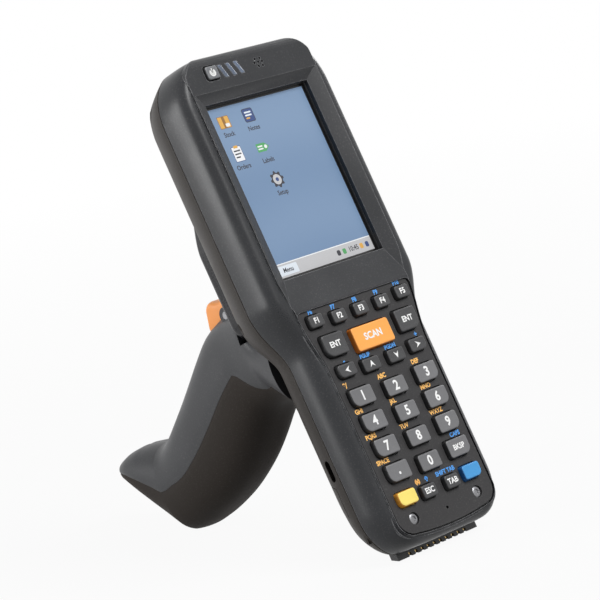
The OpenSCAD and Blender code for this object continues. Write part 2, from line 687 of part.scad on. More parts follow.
module tail_slot() {
    r = strap_slot[1] / 2;
    reach = (strap_slot[0] - strap_slot[1]) / 2;
    z = cover_seam_z + r - 0.1;
    for (y = [-reach, reach]) cross_rod([strap_slot_y + y, z], r, tail_w / 2 - 5, tail_w / 2 + past);
    block([tail_w / 2 - 5, strap_slot_y - reach, z - r], [tail_w / 2 + past, strap_slot_y + reach, z + r]);
}

dock_half = tail_w / 2 - 10.6;
// The lugs of the hinge lie between these distances from the middle, and the cover's barrels inside them
lug = [14, 17.5];
lug_r = 1.9;
barrel = [6, 13.5];
dock_z = [seam_tail - 4.4, seam_tail - 1];

module rear_shell() color("#4b4642") stand() {
    difference() {
        loft([for (y = stations(0)) rear_section(y, 0, 8)]);
        difference() {
            loft([for (y = stations(wall)) rear_section(y, wall, 5, past)]);
            rear_columns();
        }
        cover_space(gap);
        swing_room();
        both_sides() tail_slot();
        for (at = shell_screws_at) both_sides() translate([at[0], at[1], 0]) {
            translate([0, 0, -head_w]) cylinder(r = 1.4, h = head_w);
            translate([0, 0, shell_seam(at) - 4 - head_w]) cylinder(r = 2.6, h = head_w);
        }
        for (at = saddle_screws_at) both_sides()
            translate([at[0], at[1], back_head - past]) cylinder(r = 1.25, h = 9);
        at_scan_opening() block([-scan_opening[0] / 2, -wall - 1.5, -scan_opening[1] / 2],
            [scan_opening[0] / 2, head_end, scan_opening[1] / 2]);
        block([-dock_half - 0.1, tail_end - past, dock_z[0] - 0.1],
            [dock_half + 0.1, tail_end + 2 * wall, dock_z[1] + 0.1]);
    }
    // Floor of the battery bay, posts for the keypad board, and the lugs that hold the hinge pin
    block([-tail_w / 2 + 1.2, tail_end + 7.5, bay_floor_z - bay_floor_t],
        [tail_w / 2 - 1.2, tongue_top + 2, bay_floor_z]);
    both_sides() translate([plate_tail_half - 4.7, plate_bottom + 15, bay_floor_z - bay_floor_t / 2])
        cylinder(r = 2, h = key_board_z - key_board_t - bay_floor_z + bay_floor_t / 2);
    both_sides() difference() {
        union() {
            block([lug[0], hinge_y - 0.8, hinge_z], [lug[1], hinge_y + 0.8, bay_floor_z - bay_floor_t / 2]);
            cross_rod([hinge_y, hinge_z], lug_r, lug[0], lug[1]);
        }
        cross_rod([hinge_y, hinge_z], cover_pin_r, lug[0] - past, lug[1] + past);
    }
}

module battery_cover() color("#4b4642") stand() {
    difference() {
        union() {
            intersection() {
                difference() {
                    loft([for (y = stations(0, tail_end + 5, tongue_top + 6)) rear_section(y, 0, 8)]);
                    loft([for (y = stations(wall, tail_end, tongue_top + 8))
                        rear_section(y, wall, 5, past)]);
                }
                cover_space(0);
            }
            both_sides() cross_rod([hinge_y, hinge_z], barrel_r, barrel[0], barrel[1]);
            translate([0, lock_y, back_tail + lock_seat]) cylinder(r = lock_r + 2, h = wall);
        }
        cross_rod([hinge_y, hinge_z], cover_pin_r + running, -tail_w, tail_w);
        both_sides() cross_rod([hinge_y, hinge_z], lug_r + gap, lug[0] - gap, lug[1] + gap);
        translate([0, lock_y, back_tail - past]) cylinder(r = lock_r + running, h = 3 * wall);
    }
}

module cover_pin() color("silver") stand() cross_rod([hinge_y, hinge_z], cover_pin_r, -lug[1], lug[1]);

// The lock stands open, with its tab across. A quarter turn puts the tab behind the edge of the rear shell.
module cover_lock() color("#2b2b2d") stand() translate([0, lock_y, back_tail]) {
    tab = tongue_top - lock_y + 3.4;
    difference() {
        cylinder(r = lock_r, h = lock_inner + lock_flange_t);
        translate([-lock_r, -0.7, -past]) cube([2 * lock_r, 1.4, 1.2 + past]);
    }
    difference() {
        translate([-tab, -2.4, lock_inner]) cube([tab, 4.8, lock_flange_t]);
        cylinder(r = lock_r - 0.5, h = lock_inner + 2 * lock_flange_t);
    }
}

module battery() color("#3a3c42") stand() {
    z1 = back_tail + lock_inner + lock_flange_t + gap;
    z2 = bay_floor_z - bay_floor_t;
    r = 0.37 * (z2 - z1);
    y2 = hinge_y + 3 + battery_len;
    translate([0, y2, z1]) rotate([90, 0, 0]) linear_extrude(battery_len) {
        translate([-battery_w / 2, r]) square([battery_w, z2 - z1 - r]);
        translate([-battery_w / 2 + r, 0]) square([battery_w - 2 * r, z2 - z1]);
        for (s = [-1, 1]) translate([s * (battery_w / 2 - r), r]) circle(r);
    }
}

module dock_connector() color("#101011") on_surface() difference() {
    block([-dock_half, foot_y - 2, dock_z[0]], [dock_half, tail_end + 2 * wall + 1.5, dock_z[1]]);
    for (i = [-4.5:4.5]) block([i * 3.2 - 0.7, tail_end - 4, dock_z[1] - 0.9],
        [i * 3.2 + 0.7, tail_end - 0.4, dock_z[1] + past]);
}

module dock_contacts() color("#d8b25a") stand() for (i = [-4.5:4.5])
    block([i * 3.2 - 0.6, tail_end - 1.1, dock_z[1] - 0.9],
        [i * 3.2 + 0.6, tail_end - 0.4, dock_z[1] - 0.5]);

module shell_screws() color("silver") stand() for (at = shell_screws_at) both_sides()
    translate([at[0], at[1], shell_seam(at)]) difference() {
        union() {
            translate([0, 0, -4.2]) cylinder(r = 1.25, h = 11.2);
            translate([0, 0, -6]) cylinder(r = 2.4, h = 2);
        }
        translate([0, 0, -6 - past]) cylinder(r = 1.1, h = past + 1);
    }

// ---------------------------------------------------------------- saddle and grip

// The saddle rises along its ramp and ends round at its lower end, both seen from behind and from the side
saddle_ramp = [plate_top + 65, plate_top + 36];
saddle_low = plate_top + 2;
saddle_round = [7, 9];
saddle_edge_r = 3;
function saddle_face(y) = let (t = (y - saddle_ramp[1]) / (saddle_ramp[0] - saddle_ramp[1]))
    mix(saddle_z, back_head + 0.6, pow(max(0, t), 1.4));
function saddle_half(y) = saddle_w / 2 - rounded_off(y - saddle_low, saddle_round[0], saddle_round[1])
    - 3 * ease((y - saddle_ramp[1]) / 20);
function saddle_ring(y) =
    let (a = saddle_half(y), z = saddle_face(y), top = back_head + 6.5,
        r = min(saddle_edge_r, back_head + 1 - z) - 0.4 * ease(z - back_head + 1))
    [for (p = concat([[a, top]], [for (t = [0:15:90]) [a - r + r * cos(t), z + r - r * sin(t)]],
        [for (t = [90:-15:0]) [-a + r - r * cos(t), z + r - r * sin(t)]], [[-a, top]]))
        [p[0], y, p[1]]];
saddle_steps = concat([for (k = [0:6]) saddle_low + saddle_round[0] * (1 - cos(90 * k / 6))],
    [for (k = [1:4]) mix(saddle_low + saddle_round[0], saddle_ramp[1], k / 4)],
    [for (k = [1:6]) mix(saddle_ramp[1], saddle_ramp[0], k / 6)]);

// The rear half of the body as a solid, between two places along it
module rear_body(low, high) {
    loft([for (y = stations(0, low, high)) rear_section(y, 0, 8)]);
}

module saddle_plate() color("#3b3c3f") stand() difference() {
    loft([for (y = saddle_steps) saddle_ring(y)]);
    rear_body(saddle_low - 8, head_end);
    for (at = saddle_screws_at) both_sides() translate([at[0], at[1], 0]) {
        translate([0, 0, -head_w]) cylinder(r = 1.4, h = head_w);
        translate([0, 0, saddle_z - past]) cylinder(r = 2.6, h = past + 1.8);
    }
}

module saddle_screws() color("silver") stand() for (at = saddle_screws_at) both_sides()
    translate([at[0], at[1], saddle_z]) difference() {
        union() {
            translate([0, 0, 1.8 - 1.6]) cylinder(r = 2.4, h = 1.6);
            translate([0, 0, 1.6]) cylinder(r = 1.25, h = saddle_t - 1.6 + 7);
        }
        translate([0, 0, -past]) cylinder(r = 1.1, h = past + 1);
    }

// Point of the grip's outline at a station; 0 is the finger side and 180 the palm side
function grip_point(s, a, g) =
    let (mid = grip_y + (s[1] + s[2]) / 2, half = (s[1] - s[2]) / 2 - g, wide = s[3] * grip_w / 33 - g,
        c = cos(a), q = sin(a), e = 2 / grip_bend)
    [-wide * sign(q) * pow(abs(q), e), mid + half * sign(c) * pow(abs(c), e), saddle_z - s[0]];
// Angle at which the hard shell ends and the rubber begins: it rises round the palm below the body
function rubber_from(s) = 93 + 43 * ease((15 - s[0]) / 14) - 14 * ease((1 - s[0]) / 9)
    - 4 * ease((s[0] - 60) / 16);
grip_arc = 10;
cavity_end = 13;

// Left half of the hard core, standing back by the rubber's thickness on the palm side
function core_ring(s) =
    let (b = rubber_from(s), end = 179.99)
    concat([for (k = [0:grip_arc]) grip_point(s, 0.01 + (b - 0.01) * k / grip_arc, 0)],
        [for (k = [0:grip_arc]) grip_point(s, mix(b, end, k / grip_arc), rubber_t)]);
function cavity_ring(s, g) =
    let (ring = [for (a = [10:20:170]) grip_point(s, a, g)])
    concat([[past, ring[0][1], ring[0][2]]], ring, [[past, ring[8][1], ring[8][2]]]);

module cavity() {
    rows = [for (k = [0:cavity_end]) if (k % 2 == 0 || k == cavity_end) GRIP[k]];
    loft([for (s = rows) cavity_ring(s, grip_wall + rubber_t)]);
}

// What the grip fits against: the back of the body, and the saddle in front of its lower end
module above_grip() {
    rear_body(saddle_low - 50, saddle_low + 10);
    block([-head_w, saddle_low - gap, saddle_z], [head_w, head_end, back_head + 2]);
}

module trigger_space() {
    half = trigger_w / 2 + gap + 0.1;
    // The trigger's back swings in by this much at its lower end
    swing = (trigger_pivot[1] - trigger_end) * sin(trigger_pull);
    block([-half, trigger_pivot[0] - trigger_back - swing - 1, trigger_end - 1.2],
        [half, finger_y + 20, saddle_z - 1.4]);
}

module grip_half() {
    difference() {
        union() {
            difference() {
                loft([for (s = GRIP) core_ring(s)]);
                cavity();
                above_grip();
            }
            cross_rod(trigger_pivot, trigger_pin_r + 1.7, -pin_half, -trigger_w / 2 - gap - 0.1);
            for (at = grip_screws_at) cross_rod([grip_y + at[1], saddle_z - at[0]], 3, -14, 0);
        }
        trigger_space();
        cross_rod(trigger_pivot, trigger_pin_r, -grip_w, past);
    }
}

module grip_left() color("#505256") stand() difference() {
    grip_half();
    for (at = grip_screws_at) cross_rod([grip_y + at[1], saddle_z - at[0]], 1.25, -9, past);
}

module grip_right() color("#505256") stand() difference() {
    mirror([1, 0, 0]) grip_half();
    for (at = grip_screws_at) {
        cross_rod([grip_y + at[1], saddle_z - at[0]], 1.4, -past, grip_w);
        cross_rod([grip_y + at[1], saddle_z - at[0]], 2.6, 9, grip_w);
    }
}

module grip_screws() color("silver") stand() for (at = grip_screws_at) difference() {
    union() {
        cross_rod([grip_y + at[1], saddle_z - at[0]], 1.25, -8, 9.2);
        cross_rod([grip_y + at[1], saddle_z - at[0]], 2.4, 9, 11);
    }
    cross_rod([grip_y + at[1], saddle_z - at[0]], 1.1, 10, 12);
}

// The skin's outer or inner sheet, from one edge of the hard shell round the palm to the other
function rubber_sheet(g) = [for (s = GRIP) let (b = rubber_from(s))
    [for (k = [0:2 * grip_arc]) grip_point(s, mix(b, 360 - b, k / (2 * grip_arc)), g)]];

module grip_overmould() color("#37322e") on_surface() difference() {
    skin(rubber_sheet(0), rubber_sheet(rubber_t));
    rear_body(saddle_low - 50, saddle_low + 10);
}

// ---------------------------------------------------------------- trigger

trigger_back = 4.6;
pin_half = 12.2;
module trigger() color("#ee9642") stand() {
    y0 = trigger_pivot[0];
    tip_r = 1.6;
    outline = concat([[y0 - 4, trigger_top], [trigger_crest - 4.4, trigger_top],
        [trigger_crest - 3.6, trigger_top - 3], [trigger_crest - 2.3, trigger_top - 10],
        [trigger_crest - 1.5, trigger_top - 14.5], [trigger_crest - 0.3, trigger_top - 19]],
        [for (a = [0:-15:-70])
            [trigger_crest - tip_r + tip_r * cos(a), trigger_top - 20.4 + tip_r * sin(a)]],
        [[trigger_crest - 9.6, trigger_end], [y0 - trigger_back, trigger_end],
            [y0 - trigger_back, trigger_top - 10]]);
    difference() {
        translate([-trigger_w / 2, 0, 0]) rotate([90, 0, 90]) linear_extrude(trigger_w) polygon(outline);
        cross_rod(trigger_pivot, trigger_pin_r + running, -trigger_w, trigger_w);
        cross_rod(trigger_pivot, spring_room_r, -spring_room, spring_room);
        block([-spring_room, y0 - 9, trigger_pivot[1] - spring_room_r],
            [spring_room, y0, trigger_pivot[1] + spring_room_r]);
    }
}

module trigger_pin() color("silver") stand()
    cross_rod(trigger_pivot, trigger_pin_r, -pin_half, pin_half);

// Torsion spring round the pin: turns side by side, and two legs
spring_wire = 0.4;
spring_room = 2.3;
spring_room_r = trigger_pin_r + 2 * spring_wire + 0.6;
module trigger_spring() color("#c8c8c8") stand() {
    turn_r = trigger_pin_r + spring_wire + 0.02;
    end_x = 1.4;
    for (x = [-end_x:end_x / 2:end_x]) translate([x, trigger_pivot[0], trigger_pivot[1]])
        rotate([0, 90, 0]) rotate_extrude() translate([turn_r, 0]) circle(spring_wire);
    for (side = [-1, 1]) translate([side * end_x, trigger_pivot[0], trigger_pivot[1] + side * turn_r])
        rotate([90, 0, 0]) cylinder(r = spring_wire, h = 6);
}

// ---------------------------------------------------------------- the nodes

front_shell();
rear_shell();
keypad_panel();
panel_screws();
display_window();
window_gasket();
display_module();
main_board();
keypad_board();
key_mat();
light_pipes();
power_key();
speaker();
microphone();
scan_engine();
scan_window();
dock_connector();
dock_contacts();
battery();
battery_cover();
cover_pin();
cover_lock();
shell_screws();
saddle_plate();
saddle_screws();
grip_left();
grip_right();
grip_overmould();
grip_screws();
trigger();
trigger_pin();
trigger_spring();
for (k = KEYS) key(k);
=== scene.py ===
"""Looks of a portable data terminal with a pistol grip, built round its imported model.

Shapes are made lying down, in millimetres: X to the right, Y towards the head and Z out of the display
glass. Stand then sets each mesh up in metres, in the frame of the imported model.
"""

import logging
import math
from dataclasses import dataclass, field
from enum import Enum
from typing import Callable, Sequence

import bmesh
import bpy
import numpy as np
from mathutils import Matrix, Vector


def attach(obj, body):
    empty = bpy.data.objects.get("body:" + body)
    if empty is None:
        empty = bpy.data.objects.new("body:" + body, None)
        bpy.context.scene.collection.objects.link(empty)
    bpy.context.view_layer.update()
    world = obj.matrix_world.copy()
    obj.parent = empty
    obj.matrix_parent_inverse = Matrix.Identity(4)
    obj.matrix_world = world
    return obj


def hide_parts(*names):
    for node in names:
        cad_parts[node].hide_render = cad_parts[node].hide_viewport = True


LOG = logging.getLogger("terminal")
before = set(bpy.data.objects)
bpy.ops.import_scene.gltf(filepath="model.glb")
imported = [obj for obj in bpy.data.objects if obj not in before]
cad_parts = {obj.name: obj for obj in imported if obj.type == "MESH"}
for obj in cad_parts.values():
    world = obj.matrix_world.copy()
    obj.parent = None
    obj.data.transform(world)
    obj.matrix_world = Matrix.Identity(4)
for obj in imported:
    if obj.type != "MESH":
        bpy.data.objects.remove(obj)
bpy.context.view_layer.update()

Point = tuple[float, float, float]
Flat = tuple[float, float]
Thing = bpy.types.Object
Look = bpy.types.Material
Socket = bpy.types.NodeSocket


# ---------------------------------------------------------------- numbers and meshes in common


def mix(a: float, b: float, t: float) -> float:
    """The value t of the way from a to b."""
    return a + (b - a) * t


def ease(t: float) -> float:
    """A smooth step from 0 to 1."""
    u = max(0.0, min(1.0, t))
    return u * u * (3 - 2 * u)


def rounded_off(d: float, r: float, h: float, bend: float = 2.0) -> float:
    """How much a round takes off near its end.

    Args:
        d: Distance from the end.
        r: Length of the round.
        h: Height of the round.
        bend: 2 for an arc and 1 for a straight slope.

    Returns:
        The height that is taken off, in millimetres.
    """
    if d >= r:
        return 0.0
    t = 1 - max(d, 0.0) / r
    return h * (1 - (1 - t**bend) ** (1 / bend))


def placed(name: str, data: bpy.types.ID) -> Thing:
    """Puts new data into the scene as an object."""
    thing = bpy.data.objects.new(name, data)
    bpy.context.scene.collection.objects.link(thing)
    return thing


def plain_mesh(thing: Thing) -> bpy.types.Mesh:
    """The mesh of an object as its live modifiers make it."""
    graph = bpy.context.evaluated_depsgraph_get()
    return bpy.data.meshes.new_from_object(thing.evaluated_get(graph))


@dataclass(frozen=True)
class Stand:
    """How the lying terminal is set up on its tail and the heel of its grip."""

    lean_deg: float = 68.8815180343931
    foot_y: float = -137.4
    foot_z: float = -9.2

    @property
    def matrix(self) -> Matrix:
        """From the lying frame in millimetres to the standing one in metres."""
        turn = Matrix.Rotation(math.radians(self.lean_deg), 4, "X")
        return Matrix.Scale(0.001, 4) @ turn @ Matrix.Translation((0, -self.foot_y, -self.foot_z))

    def direction(self, x: float, y: float, z: float) -> Vector:
        """A direction of the lying frame, in the standing one."""
        return (self.matrix.to_3x3() @ Vector((x, y, z))).normalized()


STAND = Stand()


class Mesher:
    """Builds meshes in the lying frame and finishes them as pieces."""

    @staticmethod
    def raw(name: str, points: Sequence[Point], faces: Sequence[Sequence[int]]) -> Thing:
        """Makes an object from points and faces, still in the lying frame.

        Args:
            name: Name of the object.
            points: Corners in millimetres.
            faces: Corners of each face, counter-clockwise seen from outside.

        Returns:
            The new object, linked to the scene.
        """
        mesh = bpy.data.meshes.new(name)
        mesh.from_pydata([tuple(p) for p in points], [], [tuple(f) for f in faces])
        mesh.validate()
        return placed(name, mesh)

    @staticmethod
    def loft(name: str, rings: Sequence[Sequence[Point]]) -> Thing:
        """Makes a solid through closed outlines with the same number of points.

        Args:
            name: Name of the object.
            rings: Outlines, from one end to the other.

        Returns:
            The closed solid, with its faces outwards.
        """
        n, m = len(rings[0]), len(rings)
        points = [p for ring in rings for p in ring]
        for ring in (rings[0], rings[-1]):
            points.append(tuple(sum(p[a] for p in ring) / n for a in range(3)))
        faces = [
            (i * n + j, i * n + (j + 1) % n, (i + 1) * n + (j + 1) % n, (i + 1) * n + j)
            for i in range(m - 1)
            for j in range(n)
        ]
        faces += [(m * n, (j + 1) % n, j) for j in range(n)]
        faces += [(m * n + 1, (m - 1) * n + j, (m - 1) * n + (j + 1) % n) for j in range(n)]
        thing = Mesher.raw(name, points, faces)
        Mesher.outwards(thing)
        return thing

    @staticmethod
    def outwards(thing: Thing) -> None:
        """Merges doubled points and turns the faces of a closed mesh outwards."""
        work = bmesh.new()
        work.from_mesh(thing.data)
        bmesh.ops.remove_doubles(work, verts=work.verts, dist=1e-5)
        bmesh.ops.dissolve_degenerate(work, dist=1e-6, edges=work.edges)
        bmesh.ops.recalc_face_normals(work, faces=work.faces)
        work.to_mesh(thing.data)
        work.free()

    @staticmethod
    def prism(name: str, outline: Sequence[Flat], low: float, high: float) -> Thing:
        """Makes an upright prism over a flat outline."""
        return Mesher.loft(name, [[(x, y, z) for x, y in outline] for z in (low, high)])

    @staticmethod
    def block(name: str, low: Point, high: Point) -> Thing:
        """Makes a plain block, for cutting with."""
        corners = [(low[0], low[1]), (high[0], low[1]), (high[0], high[1]), (low[0], high[1])]
        return Mesher.prism(name, corners, low[2], high[2])

    @staticmethod
    def rod(name: str, start: Point, end: Point, r: float, sides: int = 40) -> Thing:
        """Makes a round bar from start to end."""
        a, b = Vector(start), Vector(end)
        turn = (b - a).to_track_quat("Z", "Y").to_matrix()
        ring = [(r * math.cos(2 * math.pi * k / sides), r * math.sin(2 * math.pi * k / sides))
                for k in range(sides)]
        return Mesher.loft(name, [[tuple(c + turn @ Vector((x, y, 0))) for x, y in ring] for c in (a, b)])

    @staticmethod
    def carve(thing: Thing, tools: Sequence[Thing], way: str = "DIFFERENCE") -> Thing:
        """Cuts, joins or keeps what is common, and removes the tools.

        Args:
            thing: The solid that is changed.
            tools: The solids that it is changed with, one after the other.
            way: DIFFERENCE, UNION or INTERSECT.

        Returns:
            The changed solid.
        """
        for tool in tools:
            cutter = thing.modifiers.new("carve", "BOOLEAN")
            cutter.operation = way
            cutter.solver = "MANIFOLD"
            cutter.object = tool
            Mesher.settle(thing)
            bpy.data.objects.remove(tool)
        return thing

    @staticmethod
    def settle(thing: Thing) -> None:
        """Turns the live modifiers of an object into plain mesh."""
        mesh = plain_mesh(thing)
        thing.modifiers.clear()
        thing.data = mesh

    @staticmethod
    def joined(name: str, things: Sequence[Thing]) -> Thing:
        """Puts several objects into one, each face keeping its material."""
        points: list[Point] = []
        faces: list[list[int]] = []
        slots: list[Look | None] = []
        marks: list[int] = []
        smooth: list[bool] = []
        for thing in things:
            base = len(points)
            points += [tuple(v.co) for v in thing.data.vertices]
            places = []
            for material in list(thing.data.materials) or [None]:
                if material not in slots:
                    slots.append(material)
                places.append(slots.index(material))
            for p in thing.data.polygons:
                faces.append([base + v for v in p.vertices])
                marks.append(places[min(p.material_index, len(places) - 1)])
                smooth.append(p.use_smooth)
            bpy.data.objects.remove(thing)
        whole = Mesher.raw(name, points, faces)
        for material in slots:
            if material is not None:
                whole.data.materials.append(material)
        whole.data.polygons.foreach_set("material_index", marks)
        whole.data.polygons.foreach_set("use_smooth", smooth)
        return whole

    @staticmethod
    def crease(thing: Thing, bend_deg: float, area: float) -> None:
        """Makes the edges between large faces sharp.

        Args:
            thing: The piece, in the standing frame.
            bend_deg: Only edges that bend by more than this are made sharp.
            area: Least size of both faces, in square metres.
        """
        work = bmesh.new()
        work.from_mesh(thing.data)
        for edge in work.edges:
            large = len(edge.link_faces) == 2 and min(f.calc_area() for f in edge.link_faces) > area
            if large and edge.calc_face_angle(0.0) > math.radians(bend_deg):
                edge.smooth = False
        work.to_mesh(thing.data)
        work.free()

    @staticmethod
    def finish(
        thing: Thing,
        material: Look | None,
        body: str,
        slot: str,
        stands_for: Sequence[str] = (),
        sharp_deg: float = 32.0,
        level: bool = False,
    ) -> None:
        """Sets a piece up in the standing frame, dresses it and makes it ride.

        Args:
            thing: The piece, in the lying frame.
            material: Its material, or None where its faces have theirs.
            body: The body that it rides on.
            slot: Not used.
            stands_for: The nodes that it replaces.
            sharp_deg: Edges that bend by more than this stay sharp.
            level: True where large faces are shaded flat up to their rounded edges.
        """
        thing.data.transform(STAND.matrix)
        thing.data.shade_smooth()
        thing.data.set_sharp_from_angle(angle=math.radians(sharp_deg))
        if level:
            Mesher.crease(thing, 6.0, 2e-5)
            weigher = thing.modifiers.new("weigh", "WEIGHTED_NORMAL")
            weigher.mode = "FACE_AREA"
            weigher.keep_sharp = True
            Mesher.settle(thing)
        if material is not None:
            thing.data.materials.clear()
            thing.data.materials.append(material)
        thing.data.update()
        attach(thing, body)
        if stands_for:
            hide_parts(*stands_for)
        LOG.info("%s: %d faces on %s", thing.name, len(thing.data.polygons), body)


# ---------------------------------------------------------------- node trees


class Tree:
    """Adds nodes to a node tree and wires them."""

    def __init__(self, tree: bpy.types.NodeTree) -> None:
        """Keeps the tree that nodes are added to."""
        self.tree = tree

    @classmethod
    def emptied(cls, owner: Look | bpy.types.World) -> "Tree":
        """Takes the usual nodes out of a material or a world and returns its tree."""
        owner.use_nodes = True
        owner.node_tree.nodes.clear()
        return cls(owner.node_tree)

    def add(self, kind: str, **values: object) -> bpy.types.Node:
        """Adds a node and sets its properties."""
        node = self.tree.nodes.new(kind)
        for name, value in values.items():
            setattr(node, name, value)
        return node

    def wire(self, source: object, target: object) -> None:
        """Links an output, or sets a value, on an input."""
        if isinstance(source, Socket):
            self.tree.links.new(source, target)
        else:
            target.default_value = source

    def math(self, way: str, a: object, b: object = 0.0, clamp: bool = False) -> Socket:
        """Adds a Math node and returns its output."""
        node = self.add("ShaderNodeMath", operation=way, use_clamp=clamp)
        self.wire(a, node.inputs[0])
        self.wire(b, node.inputs[1])
        return node.outputs[0]

    def blend(self, share: object, a: object, b: object) -> Socket:
        """Adds a colour Mix node and returns its output."""
        node = self.add("ShaderNodeMix", data_type="RGBA", blend_type="MIX")
        self.wire(share, node.inputs[0])
        self.wire(a, node.inputs[6])
        self.wire(b, node.inputs[7])
        return node.outputs[2]

    def span(self, value: object, low: float, high: float, to_low: float,
             to_high: float) -> Socket:
        """Adds a clamped Map Range node and returns its output."""
        node = self.add("ShaderNodeMapRange")
        for k, v in enumerate((value, low, high, to_low, to_high)):
            self.wire(v, node.inputs[k])
        return node.outputs[0]

    def noise(self, where: object, scale: object, detail: float = 2.0) -> Socket:
        """Adds a Noise Texture node and returns its value."""
        node = self.add("ShaderNodeTexNoise")
        for label, value in (("Vector", where), ("Scale", scale), ("Detail", detail)):
            self.wire(value, node.inputs[label])
        return node.outputs["Fac"]


def new_look(name: str) -> tuple[Look, Tree, Socket, bpy.types.Node]:
    """Makes a material with one plain shader.

    Args:
        name: Name of the material.

    Returns:
        The material, its tree, the place of the shaded point and the shader.
    """
    material = bpy.data.materials.new(name)
    t = Tree.emptied(material)
    where = t.add("ShaderNodeTexCoord").outputs["Object"]
    shader = t.add("ShaderNodeBsdfPrincipled")
    t.wire(shader.outputs[0], t.add("ShaderNodeOutputMaterial").inputs[0])
    return material, t, where, shader


class Effects:
    """The shader groups that more than one material uses."""

    def __init__(self) -> None:
        """Builds each group once."""
        self.grain = self._grain()
        self.wear_and_highlight = self._wear_and_highlight()
        self.cloud = self._cloud()

    @staticmethod
    def _group(name: str, ins: dict[str, float], outs: Sequence[str]) -> tuple:
        """Makes a group that takes a vector and numbers; returns it, its tree, inputs and outputs."""
        group = bpy.data.node_groups.new(name, "ShaderNodeTree")
        face, number = group.interface, "NodeSocketFloat"
        face.new_socket("Vector", in_out="INPUT", socket_type="NodeSocketVector")
        for label, value in ins.items():
            face.new_socket(label, in_out="INPUT", socket_type=number).default_value = value
        for label in outs:
            face.new_socket(label, in_out="OUTPUT", socket_type=number)
        tree = Tree(group)
        return group, tree, tree.add("NodeGroupInput"), tree.add("NodeGroupOutput")

    def _grain(self) -> bpy.types.NodeTree:
        """Fine spark-eroded texture of a mould, as a height and a mask."""
        group, t, i, o = self._group("MouldGrain", {"Scale": 2500.0}, ("Height", "Mask"))
        fine = t.noise(i.outputs[0], i.outputs[1], 3)
        cells = t.add("ShaderNodeTexVoronoi", feature="F1")
        t.wire(i.outputs[0], cells.inputs["Vector"])
        t.wire(i.outputs[1], cells.inputs["Scale"])
        t.wire(t.math("ADD", fine, t.math("MULTIPLY", cells.outputs["Distance"], 0.6)), o.inputs[0])
        t.wire(t.span(fine, 0.35, 0.65, 0, 1), o.inputs[1])
        return group

    def _wear_and_highlight(self) -> bpy.types.NodeTree:
        """Where edges are rubbed and where a painted highlight lies along them: the bevelled normal parts
        from the true one there.
        """
        group, t, i, o = self._group("EdgeWearAndHighlight", {"Radius": 0.0005, "Amount": 1.0}, ["Mask"])
        bevel = t.add("ShaderNodeBevel", samples=4)
        t.wire(i.outputs[1], bevel.inputs["Radius"])
        true = t.add("ShaderNodeNewGeometry")
        dot = t.add("ShaderNodeVectorMath", operation="DOT_PRODUCT")
        t.wire(bevel.outputs[0], dot.inputs[0])
        t.wire(true.outputs["Normal"], dot.inputs[1])
        breaks = t.noise(i.outputs[0], 420)
        edge = t.span(dot.outputs["Value"], 1.0, 0.82, 0, 1)
        rubbed_and_lit = t.math("MULTIPLY", edge, t.span(breaks, 0.3, 0.7, 0.35, 1))
        t.wire(t.math("MULTIPLY", rubbed_and_lit, i.outputs[2], True), o.inputs[0])
        return group

    def _cloud(self) -> bpy.types.NodeTree:
        """Slow handling marks and a breath of dust, as two masks."""
        group, t, i, o = self._group("Handling", {"Scale": 45.0}, ("Marks", "Dust"))
        slow = t.noise(i.outputs[0], i.outputs[1], 5)
        specks = t.noise(i.outputs[0], t.math("MULTIPLY", i.outputs[1], 40.0))
        t.wire(t.span(slow, 0.3, 0.7, 0, 1), o.inputs[0])
        t.wire(t.math("MULTIPLY", t.span(specks, 0.55, 0.8, 0, 1), slow), o.inputs[1])
        return group


